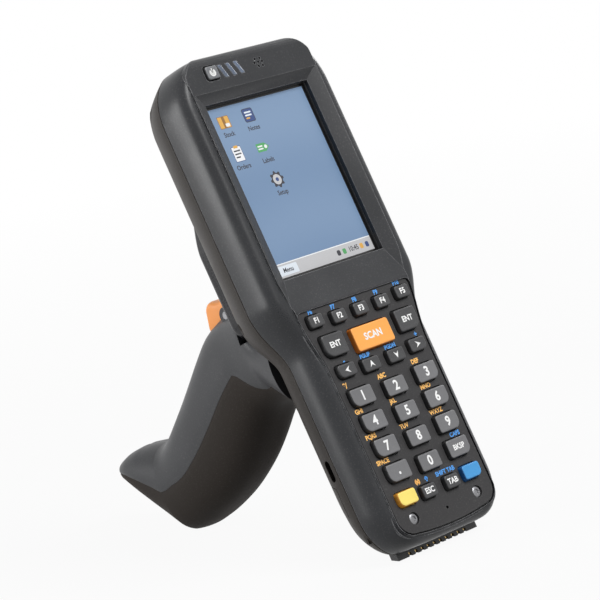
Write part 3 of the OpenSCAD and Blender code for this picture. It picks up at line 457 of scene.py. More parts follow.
@dataclass(frozen=True)
class Finish:
    """One moulded, glass or metal finish.

    Colours are linear. Sizes of patterns are in cycles for each metre.
    """

    name: str
    color: tuple[float, float, float]
    rough: float = 0.45
    grain: float = 2600.0
    grain_depth: float = 0.00001
    mottle: float = 0.12
    # The two edge fields below lighten convex edges: rubbed wear, and a painted highlight along them.
    wear_and_highlight: float = 0.3
    wear_and_highlight_color: tuple[float, float, float] = (0.3, 0.3, 0.31)
    metal: float = 0.0
    coat: float = 0.0
    coat_rough: float = 0.1
    dust: float = 0.05
    specular: float = 0.5
    radius: float = 0.00035

    def make(self, effects: Effects) -> Look:
        """Builds the material.

        Args:
            effects: The shader groups in common.

        Returns:
            The new material.
        """
        material, t, where, shader = new_look(self.name)
        groups = (effects.grain, effects.wear_and_highlight, effects.cloud)
        grain, wear_and_highlight, cloud = (t.add("ShaderNodeGroup", node_tree=group) for group in groups)
        for node in (grain, wear_and_highlight, cloud):
            t.wire(where, node.inputs["Vector"])
        grain.inputs["Scale"].default_value = self.grain
        wear_and_highlight.inputs["Radius"].default_value = self.radius * 1.6
        wear_and_highlight.inputs["Amount"].default_value = self.wear_and_highlight
        deep = tuple(c * (1 - self.mottle) for c in self.color) + (1,)
        pale = tuple(min(1.0, c * (1 + self.mottle)) for c in self.color) + (1,)
        color = t.blend(cloud.outputs["Marks"], deep, pale)
        color = t.blend(t.math("MULTIPLY", cloud.outputs["Dust"], self.dust * 3), color,
                        (0.42, 0.41, 0.39, 1))
        # Convex edges are lightened: rubbed wear and a painted highlight.
        color = t.blend(wear_and_highlight.outputs["Mask"], color, self.wear_and_highlight_color + (1,))
        t.wire(color, shader.inputs["Base Color"])
        rough = t.math("ADD", t.span(cloud.outputs["Marks"], 0, 1, self.rough - 0.05, self.rough + 0.06),
                       t.math("MULTIPLY", grain.outputs["Mask"], 0.05), True)
        t.wire(rough, shader.inputs["Roughness"])
        for label, value in (("Metallic", self.metal), ("Specular IOR Level", self.specular),
                             ("Coat Weight", self.coat), ("Coat Roughness", self.coat_rough)):
            shader.inputs[label].default_value = value
        rounded = t.add("ShaderNodeBevel", samples=4)
        rounded.inputs["Radius"].default_value = self.radius
        bump = t.add("ShaderNodeBump")
        bump.inputs["Strength"].default_value = 0.6
        bump.inputs["Distance"].default_value = self.grain_depth
        t.wire(grain.outputs["Height"], bump.inputs["Height"])
        t.wire(rounded.outputs[0], bump.inputs["Normal"])
        t.wire(bump.outputs[0], shader.inputs["Normal"])
        return material


@dataclass(frozen=True)
class Printed:
    """A flat printed or lit colour, with a fine screen over it. The glow is the display's own light on the
    screen colours and painted light on the prints.
    """

    name: str
    color: tuple[float, float, float]
    glow: float = 0.0
    rough: float = 0.35

    def make(self) -> Look:
        """Builds the material.

        Returns:
            The new material.
        """
        material, t, where, shader = new_look(self.name)
        deep = tuple(c * 0.93 for c in self.color) + (1,)
        color = t.blend(t.span(t.noise(where, 3000), 0.3, 0.7, 0, 1), deep, self.color + (1,))
        t.wire(color, shader.inputs["Base Color"])
        shader.inputs["Roughness"].default_value = self.rough
        if self.glow:
            t.wire(color, shader.inputs["Emission Color"])
            shader.inputs["Emission Strength"].default_value = self.glow
        return material


# ---------------------------------------------------------------- the body


@dataclass(frozen=True)
class BodyForm:
    """The outer form of the two body shells, by its place along the length."""

    head_w: float = 74.0
    tail_w: float = 62.6
    rim_z: float = 5.0
    rim_tail: float = 4.6
    back_head: float = -34.0
    back_tail: float = -21.0
    head_end: float = 51.1
    plate_top: float = -46.5
    plate_bottom: float = -133.0
    tail_end: float = -136.2
    seam_head: float = -9.0
    seam_tail: float = -6.4
    wall: float = 2.0
    head_arch: float = 1.0
    tail_arch: float = 1.5
    head_rounds: tuple[Flat, Flat, Flat] = ((20.0, 13.5), (3.0, 3.0), (8.4, 20.5))
    tail_rounds: tuple[Flat, Flat, Flat] = ((17.0, 11.0), (4.0, 4.0), (13.0, 11.0))
    front_edges: tuple[Flat, Flat] = ((6.0, 3.1), (7.0, 2.2))
    back_edges: tuple[Flat, Flat, Flat] = ((19.0, 1.36), (15.0, 2.0), (18.0, 1.65))

    def narrowing(self, y: float) -> float:
        """How far along the waist y is: 0 at the head and 1 at the tail."""
        return ease((self.plate_top + 7 - y) / 22.5)

    def back_shift(self, y: float) -> float:
        """How far the back has come forward at y."""
        return ease((self.plate_top + 4.5 - y) / 20)

    def seam(self, y: float) -> float:
        """Height of the parting line at y."""
        return mix(self.seam_head, self.seam_tail, ease((self.plate_top - 0.5 - y) / 18))

    def ends_off(self, y: float, g: float, which: int, keep: float = 1.0) -> float:
        """How much the rounds of both ends take off at y, set in by g."""
        h, t, s = self.head_rounds[which], self.tail_rounds[which], g * keep
        bend = 1.3 if which == 2 else 2.0
        return rounded_off(self.head_end - g - y, h[0] - s, h[1] - s, bend) + rounded_off(
            y - self.tail_end - g, t[0] - s, t[1] - s
        )

    def half(self, y: float, g: float = 0.0) -> float:
        """Half width at y, set in by g."""
        return mix(self.head_w, self.tail_w, self.narrowing(y)) / 2 - g - self.ends_off(y, g, 0)

    def front(self, y: float, g: float = 0.0) -> float:
        """Height of the front at y, set in by g."""
        return mix(self.rim_z, self.rim_tail, self.narrowing(y)) - g - self.ends_off(y, g, 1, 0.5)

    def back(self, y: float, g: float = 0.0) -> float:
        """Height of the back at y, set in by g."""
        return mix(self.back_head, self.back_tail, self.back_shift(y)) + g + self.ends_off(y, g, 2)

    def front_edge(self, y: float) -> Flat:
        """Width and bend of the front edge at y."""
        a, b = self.front_edges
        return mix(a[0], b[0], self.narrowing(y)), mix(a[1], b[1], self.narrowing(y))

    def back_edge(self, y: float) -> Flat:
        """Width and bend of the back edge at y."""
        (a, b, c), s = self.back_edges, self.back_shift(y)
        e = ease((self.tail_end + 26 - y) / 22)
        return mix(mix(a[0], b[0], s), c[0], e), mix(mix(a[1], b[1], s), c[1], e)

    @staticmethod
    def quarter(side: float, face: float, seam: float, width: float, bend: float, steps: int) -> list[Flat]:
        """One edge of a section, from the side to the face."""
        points = []
        for k in range(steps + 1):
            a = math.pi / 2 * k / steps
            c, s = max(0.0, math.cos(a)) ** (2 / bend), math.sin(a) ** (2 / bend)
            points.append((side - width * (1 - c), seam + (face - seam) * s))
        return points

    def arched(self, points: Sequence[Flat], y: float) -> list[Point]:
        """Draws the points of a section back towards the middle, the further out they lie."""
        reach = ease(1 - min(self.head_end - y, y - self.tail_end) / 16)
        bulge = (-self.head_arch if y > 0 else self.tail_arch) * reach
        return [(x, y + bulge * (2 * x / self.head_w) ** 2, z) for x, z in points]

    def front_ring(
        self, y: float, g: float = 0.0, steps: int = 20, below: float = 0.0, step: float = 0.6,
        bend: Flat | None = None, groove: float = 0.0,
    ) -> list[Point]:
        """A section of the front shell.

        Args:
            y: Place along the body.
            g: How far it is set in.
            steps: Points on each edge.
            below: How far it reaches past the parting line.
            step: How far it lies below the raised face.
            bend: Width and bend of the edge, in place of the usual ones.
            groove: Depth of the bevel at the parting line.

        Returns:
            The closed outline.
        """
        half, e, seam = self.half(y, g), bend or self.front_edge(y), self.seam(y)
        q = self.quarter(half, self.front(y, g) - step, seam, e[0] - g * 0.5, e[1], steps)
        if groove:
            rest = [(x, max(z, seam + groove * (1.7 + 0.01 * k))) for k, (x, z) in enumerate(q[1:])]
            q = [(half - groove, seam), (half, seam + 1.6 * groove)] + rest
        low = [(half, seam - below)] if below else []
        return self.arched(low + q + [(-x, z) for x, z in reversed(q)] + [(-x, z) for x, z in low], y)

    def rear_ring(
        self, y: float, g: float = 0.0, steps: int = 24, above: float = 0.0, groove: float = 0.0
    ) -> list[Point]:
        """A section of the rear shell, like front_ring."""
        half, e, seam = self.half(y, g), self.back_edge(y), self.seam(y)
        q = self.quarter(half, min(self.back(y, g), seam - 1.2), seam, e[0] - g, e[1], steps)
        if groove:
            rest = [(x, min(z, seam - groove * (1.7 + 0.01 * k))) for k, (x, z) in enumerate(q[1:])]
            q = [(half - groove, seam), (half, seam - 1.6 * groove)] + rest
        high = [(half, seam + above)] if above else []
        return self.arched(high + q + [(-x, z) for x, z in reversed(q)] + [(-x, z) for x, z in high], y)

    def stations(self, g: float = 0.0, low: float = -999.0, high: float = 999.0,
                 fine: bool = True) -> list[float]:
        """Places along the body, set in by g, closer together where it rounds off."""
        end = 18
        n, pace = (16, 1.2) if fine else (8, 2.5)
        ends = [end * (1 - math.cos(math.pi / 2 * k / n)) for k in range(n + 1)]
        tail, head = self.tail_end + end + g, self.head_end - end - g
        waist = (self.plate_top - 16.5, self.plate_top + 8)
        places = [self.tail_end + g + e for e in ends[:-1]]
        for a, b, p in ((tail, waist[0], 3 * pace), (*waist, pace), (waist[1], head, 4 * pace)):
            count = max(2, round((b - a) / p))
            places += [mix(a, b, k / count) for k in range(count)]
        places += [self.head_end - g - e for e in reversed(ends)]
        return [y for y in places if low <= y <= high]

    def plate_half(self, y: float) -> float:
        """Half width of the keypad plate at y."""
        return mix(self.head_w / 2 - 8.8, self.tail_w / 2 - 6.6, ease((self.plate_top - y) / 24))

    def plate_side(self, g: float) -> list[Flat]:
        """Right side of the keypad plate's outline, set in by g, from its top to its middle below."""
        tail_half, corner = self.tail_w / 2 - 6.6, 5.5

        def bowed(x: float) -> Flat:
            """Point of the plate's lower edge, which bows down in the middle."""
            return x, self.plate_bottom + g + 2.2 * (x / tail_half) ** 2

        rows = [0, 0.2, 0.6, 1.2, 2] + list(range(3, 26)) + [32, 40, 50, 60, 70, 78]
        side = [(self.plate_half(self.plate_top - d) - g - rounded_off(d, 2, 2),
                 self.plate_top - max(d, g)) for d in rows]
        for k in range(13):
            a = math.radians(7.5 * k)
            p = bowed(tail_half - g - corner * (1 - math.cos(a)))
            side.append((p[0], p[1] + corner * (1 - math.sin(a))))
        return side + [bowed((tail_half - corner) * k / 6) for k in range(5, -1, -1)]

    @staticmethod
    def both(side: Sequence[Flat]) -> list[Flat]:
        """Closes the right side of an outline with its mirror image."""
        return list(side) + [(-x, y) for x, y in reversed(side[:-1])]

    def plate(self, g: float) -> list[Flat]:
        """Outline of the keypad plate, set in by g."""
        return self.both(self.plate_side(g))

    def face(self) -> list[Flat]:
        """Outline of the raised face round the display and the keypad plate."""
        lip, top_half, bezel_half = 0.7, self.head_w / 2 - 8.8, self.head_w / 2 - 6.9

        def reach(y: float) -> float:
            """Half width of the face at y, from the keypad plate's top upwards."""
            share = ease((y - self.plate_top) / 14)
            return mix(top_half, bezel_half, share) + lip - rounded_off(self.head_end - y, 8, 12)

        side = [(reach(self.head_end), self.head_end + 1)]
        for k in range(19):
            d = 8 * (1 - math.cos(math.radians(5 * k)))
            side.append((reach(self.head_end - d), self.head_end - d))
        side += [(reach(self.plate_top + 14 * k / 12), self.plate_top + 14 * k / 12)
                 for k in range(12, -1, -1)]
        return self.both(side + [p for p in self.plate_side(-lip) if p[1] < self.plate_top - 1])


BODY = BodyForm()
OPENING_W, OPENING_H = 51.0, 67.2
PLATE_Z, KEY_TOP = 4.3, 6.2
POWER = (-18.5, OPENING_H / 2 + 10.4)
POWER_SIZE = (6, 5.2)
HINGE = (-117.5, -17.55)
LOCK_Y, LOCK_R, LOCK_TAB = -88.1, 4.5, 10.6
SADDLE_Z = -38.5
TRIGGER_PIVOT, TRIGGER_PIN_R = (-31.3, -47.5), 1.5
TRIGGER_END, TRIGGER_SWING_DEG = SADDLE_Z - 27.9, 8
BORE_R, WELL_R = 1.4, 2.6
SHELL_SCREWS = ((29.0, 41.2), (29.0, -41.5), (25.8, -77.0))
PANEL_SCREW = (16.6, -126.8)
SADDLE_SCREWS = ((16, BODY.plate_top + 38), (16, BODY.plate_top + 15))
SADDLE_SCREW_Z = SADDLE_Z + 1.8


def sided(make: Callable[[int], Thing]) -> list[Thing]:
    """Makes something on the right and on the left."""
    return [make(1), make(-1)]


@dataclass
class FrontShell:
    """The front half of the body: raised face, sunk bezel, plate pocket and openings."""

    bezel_wall: float = 2.7
    bezel_half: float = 30.1
    pipes_x: tuple[float, ...] = (-12.9, -8.9, -5.1)
    pipe_half: float = 0.9
    pipe_slant: float = 0.9
    grille: Flat = (5.0, 43.8)
    frame: Flat = (30.0, 38.1)
    frame_z: Flat = (0.9, 3.6)
    key_gap: float = 0.35
    holes: tuple[Flat, ...] = ((-1.4, 1.3), (1, 1.3), (-2.2, 0), (-0.3, 0), (1.6, 0), (-0.8, -1.5),
                               (1.2, -1.5))

    def slope(self) -> Thing:
        """The hollow above the bezel's slopes."""
        low = [(OPENING_W / 2, -OPENING_H / 2), (OPENING_W / 2, OPENING_H / 2 + 0.1)]
        high = [(self.bezel_half, BODY.plate_top + 0.3), (self.bezel_half, OPENING_H / 2 + 3.8)]
        rings = []
        for (a, b), z in ((low, self.bezel_wall), (high, BODY.rim_z), (high, BODY.rim_z + 1)):
            rings.append([(-a[0], a[1], z), (-b[0], b[1], z), (b[0], b[1], z), (a[0], a[1], z)])
        return Mesher.loft("slope", rings)

    def build(self) -> Thing:
        """Builds the shell as one closed solid."""
        b = BODY
        shell = Mesher.loft("front_shell_skin", [b.front_ring(y, groove=0.2) for y in b.stations()])
        face = Mesher.loft("face", [b.front_ring(y, 0, 8, 0, 0, (2.5, 2.0)) for y in b.stations()])
        Mesher.carve(face, [Mesher.prism("keep", b.face(), b.rim_tail - 6, b.rim_z + 2)], "INTERSECT")
        Mesher.carve(shell, [face], "UNION")
        inner = [b.front_ring(y, b.wall, 8, 1, 0.3) for y in b.stations(b.wall, fine=False)]
        Mesher.carve(shell, [Mesher.loft("inner", inner)])
        (x, y), (low, high) = self.frame, self.frame_z
        block = Mesher.block("block", (-x, -y, low), (x, y, high))
        ledge = Mesher.prism("ledge", b.plate(-1.5), 1.2, high)
        Mesher.carve(shell, [block, ledge], "UNION")
        tools = [
            self.slope(),
            Mesher.block("opening", (-OPENING_W / 2, -OPENING_H / 2, 0),
                         (OPENING_W / 2, OPENING_H / 2, b.rim_z)),
            Mesher.prism("pocket", b.plate(-0.55), 2.8, 8),
            Mesher.carve(Mesher.prism("behind", b.plate(0.9), -1, 3.8),
                         [Mesher.block("keep", (-40, -123.7, -2), (40, b.plate_top, 5))], "INTERSECT"),
            Mesher.prism("power", Key("power_key", *POWER, *POWER_SIZE).outline(self.key_gap), 0, 6),
        ]
        half, slant = self.pipe_half, self.pipe_slant
        for x in self.pipes_x:
            corners = [(slant - half, -2.5), (slant + half, -2.5), (half - slant, 2.5),
                       (-half - slant, 2.5)]
            tools.append(Mesher.prism("pipe", [(x + u, POWER[1] - 0.2 + v) for u, v in corners], 0, 6))
        for u, v in self.holes:
            x, y = self.grille[0] + u, self.grille[1] + v
            tools.append(Mesher.rod("hole", (x, y, 0), (x, y, 6), 0.45, 16))
        return Mesher.carve(shell, tools)


@dataclass
class RearShell:
    """The rear half of the body, with the battery cover, its hinge and its lock."""

    shoulder: float = -105.0
    tongue_top: float = -80.9
    tongue_w: float = 44.0
    seam_z: float = -11.2
    slot_y: float = -100.3
    swing_r: float = 3.5
    gap: float = 0.3
    pin_bore_r: float = 1.05
    lug_r: float = 1.9
    lug_x: Flat = (14.0, 17.5)
    barrel_r: float = 2.2
    boss_r: float = 6.5

    def cover_space(self, g: float) -> list[Thing]:
        """The parts of the cover's space, grown by g."""
        y, z = HINGE
        top, deep, r = self.seam_z + g, 60, 3.0
        drum = Mesher.rod("drum", (-40, y, z), (40, y, z), self.shoulder - y + g, 128)
        Mesher.carve(drum, [Mesher.block("keep", (-40, y, top - deep), (40, 60, top))], "INTERSECT")
        half, end = self.tongue_w / 2 + g, self.tongue_top + g
        corner = [(half - r + r * math.cos(a), end - r + r * math.sin(a))
                  for a in (math.pi / 2 * k / 8 for k in range(9))]
        outline = [(half, y)] + corner + [(-u, v) for u, v in reversed(corner)] + [(-half, y)]
        tongue = Mesher.prism("tongue", outline, top - deep, top)
        reach = BODY.tail_w / 2 - 4 + g
        return [drum, tongue, Mesher.rod("swing", (-reach, y, z), (reach, y, z), self.swing_r + g, 48)]

    def slot(self, side: int) -> Thing:
        """A slot for the strap, through one side wall."""
        z, inner, outer = self.seam_z + 1.4, BODY.tail_w / 2 - 5, BODY.tail_w / 2 + 1
        ring = [(2.5 + 1.5 * math.cos(a), 1.5 * math.sin(a))
                for a in np.linspace(-math.pi / 2, math.pi / 2, 13)]
        ring += [(-u, -v) for u, v in ring]
        return Mesher.loft("slot", [[(side * x, self.slot_y + u, z + v) for u, v in ring]
                                    for x in (inner, outer)])

    def opening(self, low: Point, high: Point) -> Thing:
        """A block at the scan opening, tilted with the end of the head."""
        block = Mesher.block("scan", low, high)
        block.data.transform(Matrix.Translation((0, BODY.head_end - 2.2, BODY.seam_head - 10))
                             @ Matrix.Rotation(math.radians(-20), 4, "X"))
        return block

    @staticmethod
    def upright(name: str, thing: Thing, at: Flat, top: float, r: float, sides: int) -> None:
        """Cuts an upright bar out of a solid on both sides, from behind it up to a height."""
        x, y = at
        Mesher.carve(thing, sided(lambda s: Mesher.rod(name, (s * x, y, -60), (s * x, y, top), r, sides)))

    def build(self) -> Thing:
        """Builds the shell as one closed solid."""
        b = BODY
        shell = Mesher.loft("rear_shell_skin", [b.rear_ring(y, groove=0.2) for y in b.stations()])
        inner = Mesher.loft("inner", [b.rear_ring(y, b.wall, 8, 1) for y in b.stations(b.wall, fine=False)])
        for x, y in SHELL_SCREWS:
            self.upright("column", inner, (x, y), b.seam(y), 3.6, 32)
        Mesher.carve(shell, [inner])
        reach = b.tail_w / 2 - 4 + self.gap
        room = Mesher.block("room", (-reach, HINGE[0] - self.swing_r - self.gap, HINGE[1] - 30),
                            (reach, HINGE[0], HINGE[1]))
        Mesher.carve(shell, self.cover_space(self.gap) + [room] + sided(self.slot))
        for x, y in SHELL_SCREWS:
            self.upright("bore", shell, (x, y), b.seam(y) + 1, BORE_R, 24)
            self.upright("well", shell, (x, y), b.seam(y) - 4, WELL_R, 32)
        Mesher.carve(shell, [
            self.opening((-14, -3.5, -4.5), (14, 30, 4.5)),
            Mesher.block("dock", (-20.8, b.tail_end - 1, -10.9), (20.8, b.tail_end + 4, -7.3)),
        ])
        floor = Mesher.block("floor", (-b.tail_w / 2 + 1.2, b.tail_end + 7.5, -8.4),
                             (b.tail_w / 2 - 1.2, self.tongue_top + 2, -7.4))
        lugs = []
        for s in (1, -1):
            low, high = sorted(s * x for x in self.lug_x)
            lug = Mesher.rod("lug", *[(s * x, *HINGE) for x in self.lug_x], self.lug_r, 32)
            web = Mesher.block("web", (low, HINGE[0] - 0.8, HINGE[1]), (high, HINGE[0] + 0.8, -7.9))
            lugs.append(Mesher.carve(lug, [web], "UNION"))
        return Mesher.carve(shell, [floor] + lugs, "UNION")

    def cover(self) -> Thing:
        """Builds the battery cover as one closed solid."""
        b = BODY
        outside = [b.rear_ring(y) for y in b.stations(0, b.tail_end + 5, -70)]
        inside = [b.rear_ring(y, b.wall, 8, 1) for y in b.stations(b.wall, b.tail_end, -68, False)]
        cover = Mesher.loft("battery_cover_skin", outside)
        Mesher.carve(cover, [Mesher.loft("inner", inside)])
        space = self.cover_space(0)
        Mesher.carve(cover, [Mesher.carve(space[0], space[1:], "UNION")], "INTERSECT")
        boss = Mesher.rod("boss", (0, LOCK_Y, -20.5), (0, LOCK_Y, -18.5), self.boss_r, 48)
        low, high, r = self.lug_x[0] - self.gap, self.lug_x[1] + self.gap, self.barrel_r
        barrels = sided(lambda s: Mesher.rod("barrel", (s * 6, *HINGE), (s * 13.5, *HINGE), r, 32))
        Mesher.carve(cover, [boss] + barrels, "UNION")
        tools = [Mesher.rod("pin", (-30, *HINGE), (30, *HINGE), self.pin_bore_r, 24),
                 Mesher.rod("lock", (0, LOCK_Y, -30), (0, LOCK_Y, -10), LOCK_R + 0.06, 64)]
        tools += sided(lambda s: Mesher.rod("lug", (s * low, *HINGE), (s * high, *HINGE), r, 32))
        return Mesher.carve(cover, tools)

    @staticmethod
    def lock() -> Thing:
        """Builds the lock of the battery cover, with a coin slot and finger notches."""

        def circle(r: float, steps: int) -> list[Flat]:
            """Points of a circle round the lock's middle."""
            turns = [2 * math.pi * k / steps for k in range(steps)]
            return [(r * math.cos(a), LOCK_Y + r * math.sin(a)) for a in turns]

        inside = -16.8
        disc = [[(x, y, z) for x, y in circle(LOCK_R * share, 96)]
                for share, z in ((0.93, -21.0), (0.98, -20.9), (1.0, -20.6), (1.0, inside))]
        lock = Mesher.loft("cover_lock_disc", disc)
        tab = Mesher.block("tab", (-LOCK_TAB, LOCK_Y - 2.4, inside - 1.4), (-2, LOCK_Y + 2.4, inside))
        Mesher.carve(lock, [tab], "UNION")
        coin = Mesher.block("coin", (-3.6, LOCK_Y - 0.7, -22), (3.6, LOCK_Y + 0.7, -19.8))
        notches = [Mesher.rod("notch", (*at, -23), (*at, -19.6), 0.8, 20) for at in circle(5.0, 12)]
        return Mesher.carve(lock, [coin] + notches)


# ---------------------------------------------------------------- keys and legends


class Tone(Enum):
    """Colours of the keys, by the finish of their tops."""

    DARK = "key_dark"
    DIGIT = "key_digit"
    SCAN = "key_scan_top"
    YELLOW = "key_yellow_top"
    BLUE = "key_blue_top"
    POWER = "power_silver"

    @property
    def side(self) -> str:
        """The darker copy of this colour for the sides of a key: painted shade on its side walls."""
        return "key_side" if self in (Tone.DARK, Tone.DIGIT) else self.value + "_side"


@dataclass(frozen=True)
class Key:
    """One key: its place, size, colour and legend, and which outer lower corner is large."""

    name: str
    x: float
    y: float
    w: float
    h: float
    big: int = 0
    tone: Tone = Tone.DARK
    legend: str = ""
    top: float = KEY_TOP

    def outline(self, grow: float = 0.0, steps: int = 8) -> list[Flat]:
        """Outline of the key, grown by some millimetres."""
        a, b, small = self.w / 2 + grow, self.h / 2 + grow, max(0.12, 1.1 + grow)
        far = max(0.12, (1.1 if self.big == 0 else self.h * 0.42) + grow)
        left, right = (far if self.big < 0 else small), (far if self.big > 0 else small)
        points: list[Flat] = []
        for cx, cy, r, start in (
            (a - small, b - small, small, 0), (-a + small, b - small, small, 90),
            (-a + left, -b + left, left, 180), (a - right, -b + right, right, 270),
        ):
            for k in range(steps + 1):
                t = math.radians(start + 90 * k / steps)
                points.append((self.x + cx + r * math.cos(t), self.y + cy + r * math.sin(t)))
        return points

    def build(self, flange_z: float = 1.8) -> Thing:
        """Builds the cap: a flange under the plate, a rounded edge and a slightly hollowed top.

        Args:
            flange_z: Lowest height of the flange.

        Returns:
            The closed solid.
        """
        r, draft, flange = 0.5, 0.12, 0.8
        rings = [(flange, flange_z), (flange, flange_z + flange), (0.0, flange_z + flange),
                 (0.0, self.top - 1.6), (-draft, self.top - r)]
        for t in np.linspace(0.2, math.pi / 2, 6):
            rings.append((-draft - r * (1 - math.cos(t)), self.top - r + (r - 0.02) * math.sin(t)))
        rings += [(-1.0, self.top - 0.05), (-1.7, self.top - 0.08)]
        return Mesher.loft(self.name + "_cap", [[(x, y, z) for x, y in self.outline(g)] for g, z in rings])

    def dress(self, cap: Thing, top: Look, side: Look) -> None:
        """Gives the cap one material on its top and a darker copy on its sides, as painted shade."""
        for material in (top, side):
            cap.data.materials.append(material)
        for face in cap.data.polygons:
            # Steep faces take the darker side colour: painted shade on the side walls.
            face.material_index = int(face.normal.z < 0.62)


def plate_edge_x(row: float, width: float, margin: float) -> float:
    """Middle of a key that leaves a margin to the side edge of the plate."""
    return BODY.plate_half(BODY.plate_top - row) - margin - width / 2


@dataclass
class Keypad:
    """The layout of the keys, with their legends."""

    row_f: float = 5.3
    row_enter: float = 14.3
    row_scan: float = 15.5
    row_arrow: float = 24.6
    row_last: float = 73.2
    corner_lift: float = 0.9
    arrow_stagger: float = 0.45
    keys: dict[str, Key] = field(default_factory=dict)

    def __post_init__(self) -> None:
        """Lays the keys out by their rows."""
        top = BODY.plate_top
        pitch = (BODY.plate_half(top - self.row_f) - 2.2 - 3.5) / 2
        for i in range(-2, 3):
            y = top - self.row_f + (self.corner_lift if abs(i) == 2 else 0)
            self.put(f"key_f{i + 3}", i * pitch, y, 7, 4.8, legend=f"F{i + 3}")
        for s, name in ((-1, "key_enter_left"), (1, "key_enter_right")):
            x = s * plate_edge_x(self.row_enter, 10.6, 2.1)
            self.put(name, x, top - self.row_enter, 10.6, 8.4, s, legend="ENT")
        self.put("key_scan", 0, top - self.row_scan, 19, 9, tone=Tone.SCAN, legend="SCAN")
        for s, name, mark in ((-1, "key_left", "left"), (1, "key_right", "right")):
            x = s * plate_edge_x(self.row_arrow, 8.4, 2.3)
            self.put(name, x, top - self.row_arrow + self.arrow_stagger, 8.4, 5, s, legend=mark)
        for s, name, mark in ((-1, "key_up", "up"), (1, "key_down", "down")):
            self.put(name, s * 6.4, top - self.row_arrow - self.arrow_stagger, 8.4, 5, legend=mark)
        step = (self.row_last - self.row_arrow - 10.2) / 4
        names = (("1", "2", "3"), ("4", "5", "6"), ("7", "8", "9"), ("point", "0", "backspace"))
        for r, row_names in enumerate(names):
            for c, name in zip((-1, 0, 1), row_names):
                row = self.row_arrow + 10.6 + r * step - (0 if c == 0 else 0.75)
                size = (10.5, 6.4) if c == 0 else (10.9, 6.8)
                x = c * plate_edge_x(row, 10.9, 2.7 + 0.3 * r)
                legend = {"point": ".", "backspace": "BKSP"}.get(name, name)
                self.put(f"key_{name}", x, top - row, *size, c, Tone.DIGIT, legend)
        for s, name, tone in ((-1, "key_yellow", Tone.YELLOW), (1, "key_blue", Tone.BLUE)):
            row = self.row_last - 0.4
            self.put(name, s * plate_edge_x(row, 9, 3.4), top - row, 9, 5.4, s, tone)
        for s, name, legend in ((-1, "key_escape", "ESC"), (1, "key_tab", "TAB")):
            self.put(name, s * 6.05, top - self.row_last - 0.3, 7.2, 5, legend=legend)

    def put(
        self, name: str, x: float, y: float, w: float, h: float, big: int = 0, tone: Tone = Tone.DARK,
        legend: str = ""
    ) -> None:
        """Adds one key."""
        self.keys[name] = Key(name, x, y, w, h, big, tone, legend)


class Lettering:
    """Thin raised prints: words and simple marks."""

    MARKS: dict[str, list[Flat]] = {
        "left": [(-1.3, 0), (1.15, -1.2), (0.2, 0), (1.15, 1.2)],
        "right": [(1.3, 0), (-1.15, 1.2), (-0.2, 0), (-1.15, -1.2)],
        "up": [(0, 1.3), (-1.2, -1.15), (0, -0.2), (1.2, -1.15)],
        "down": [(0, -1.3), (1.2, 1.15), (0, 0.2), (-1.2, 1.15)],
    }

    @staticmethod
    def word(
        text: str, x: float, y: float, z: float, size: float, material: Look,
        stretch: float = 1.0, weight: float = 0.0, thick: float = 0.03,
    ) -> Thing:
        """Sets a word in the built-in typeface.

        Args:
            text: The word.
            x: Its middle across.
            y: Its middle along.
            z: Height of its underside.
            size: Height of its capitals.
            material: What it is printed in.
            stretch: Width, as a share of the usual one.
            weight: How much each stroke is thickened, as a share of the height.
            thick: Thickness of the print.

        Returns:
            The word as a mesh.
        """
        curve = bpy.data.curves.new("word", "FONT")
        curve.body = text
        curve.align_x = "CENTER"
        curve.align_y = "CENTER"
        curve.size = size / 0.7
        curve.offset = weight * size
        curve.resolution_u = 3
        holder = placed("word", curve)
        mesh = plain_mesh(holder)
        bpy.data.objects.remove(holder)
        mesh.transform(Matrix.Translation((x, y, z + thick)) @ Matrix.Diagonal((stretch, 1, 1, 1)))
        mesh.materials.clear()
        mesh.materials.append(material)
        return placed("word", mesh)

    @staticmethod
    def shape(outline: Sequence[Flat], x: float, y: float, z: float, material: Look,
              thick: float = 0.03) -> Thing:
        """Prints a flat shape about x and y."""
        mark = Mesher.prism("mark", [(x + u, y + v) for u, v in outline], z, z + thick)
        mark.data.materials.append(material)
        return mark

    @staticmethod
    def arc(r: float, width: float, start: float, end: float, steps: int = 24) -> list[Flat]:
        """Outline of a part of a ring, between two angles in degrees."""
        angles = [math.radians(mix(start, end, k / steps)) for k in range(steps + 1)]
        sides = ((r + width / 2, angles), (r - width / 2, angles[::-1]))
        return [(radius * math.cos(a), radius * math.sin(a)) for radius, turns in sides for a in turns]

    @staticmethod
    def box(w: float, h: float, r: float = 0.3) -> list[Flat]:
        """Outline of a rounded rectangle about its middle."""
        points = []
        for cx, cy, start in ((w / 2 - r, h / 2 - r, 0), (r - w / 2, h / 2 - r, 90),
                              (r - w / 2, r - h / 2, 180), (w / 2 - r, r - h / 2, 270)):
            for k in range(5):
                t = math.radians(start + 22.5 * k)
                points.append((cx + r * math.cos(t), cy + r * math.sin(t)))
        return points


# ---------------------------------------------------------------- saddle, grip and trigger


@dataclass(frozen=True)
class Station:
    """One level of the grip: depth below the saddle, finger side, palm side and half width."""

    depth: float
    front: float
    back: float
    half: float

    def point(self, angle_deg: float, g: float) -> Point:
        """Point of the outline; 0 is the finger side and 180 the palm side."""
        mid = BODY.plate_top + (self.front + self.back) / 2
        reach, wide, power = (self.front - self.back) / 2 - g, self.half - g, 0.8
        c, s = math.cos(math.radians(angle_deg)), math.sin(math.radians(angle_deg))
        return (
            -wide * math.copysign(abs(s) ** power, s),
            mid + reach * math.copysign(abs(c) ** power, c),
            SADDLE_Z - self.depth,
        )

    @property
    def rubber_from(self) -> float:
        """Angle at which the hard shell ends and the rubber begins."""
        d = self.depth
        return 93 + 43 * ease((15 - d) / 14) - 14 * ease((1 - d) / 9) - 4 * ease((d - 60) / 16)


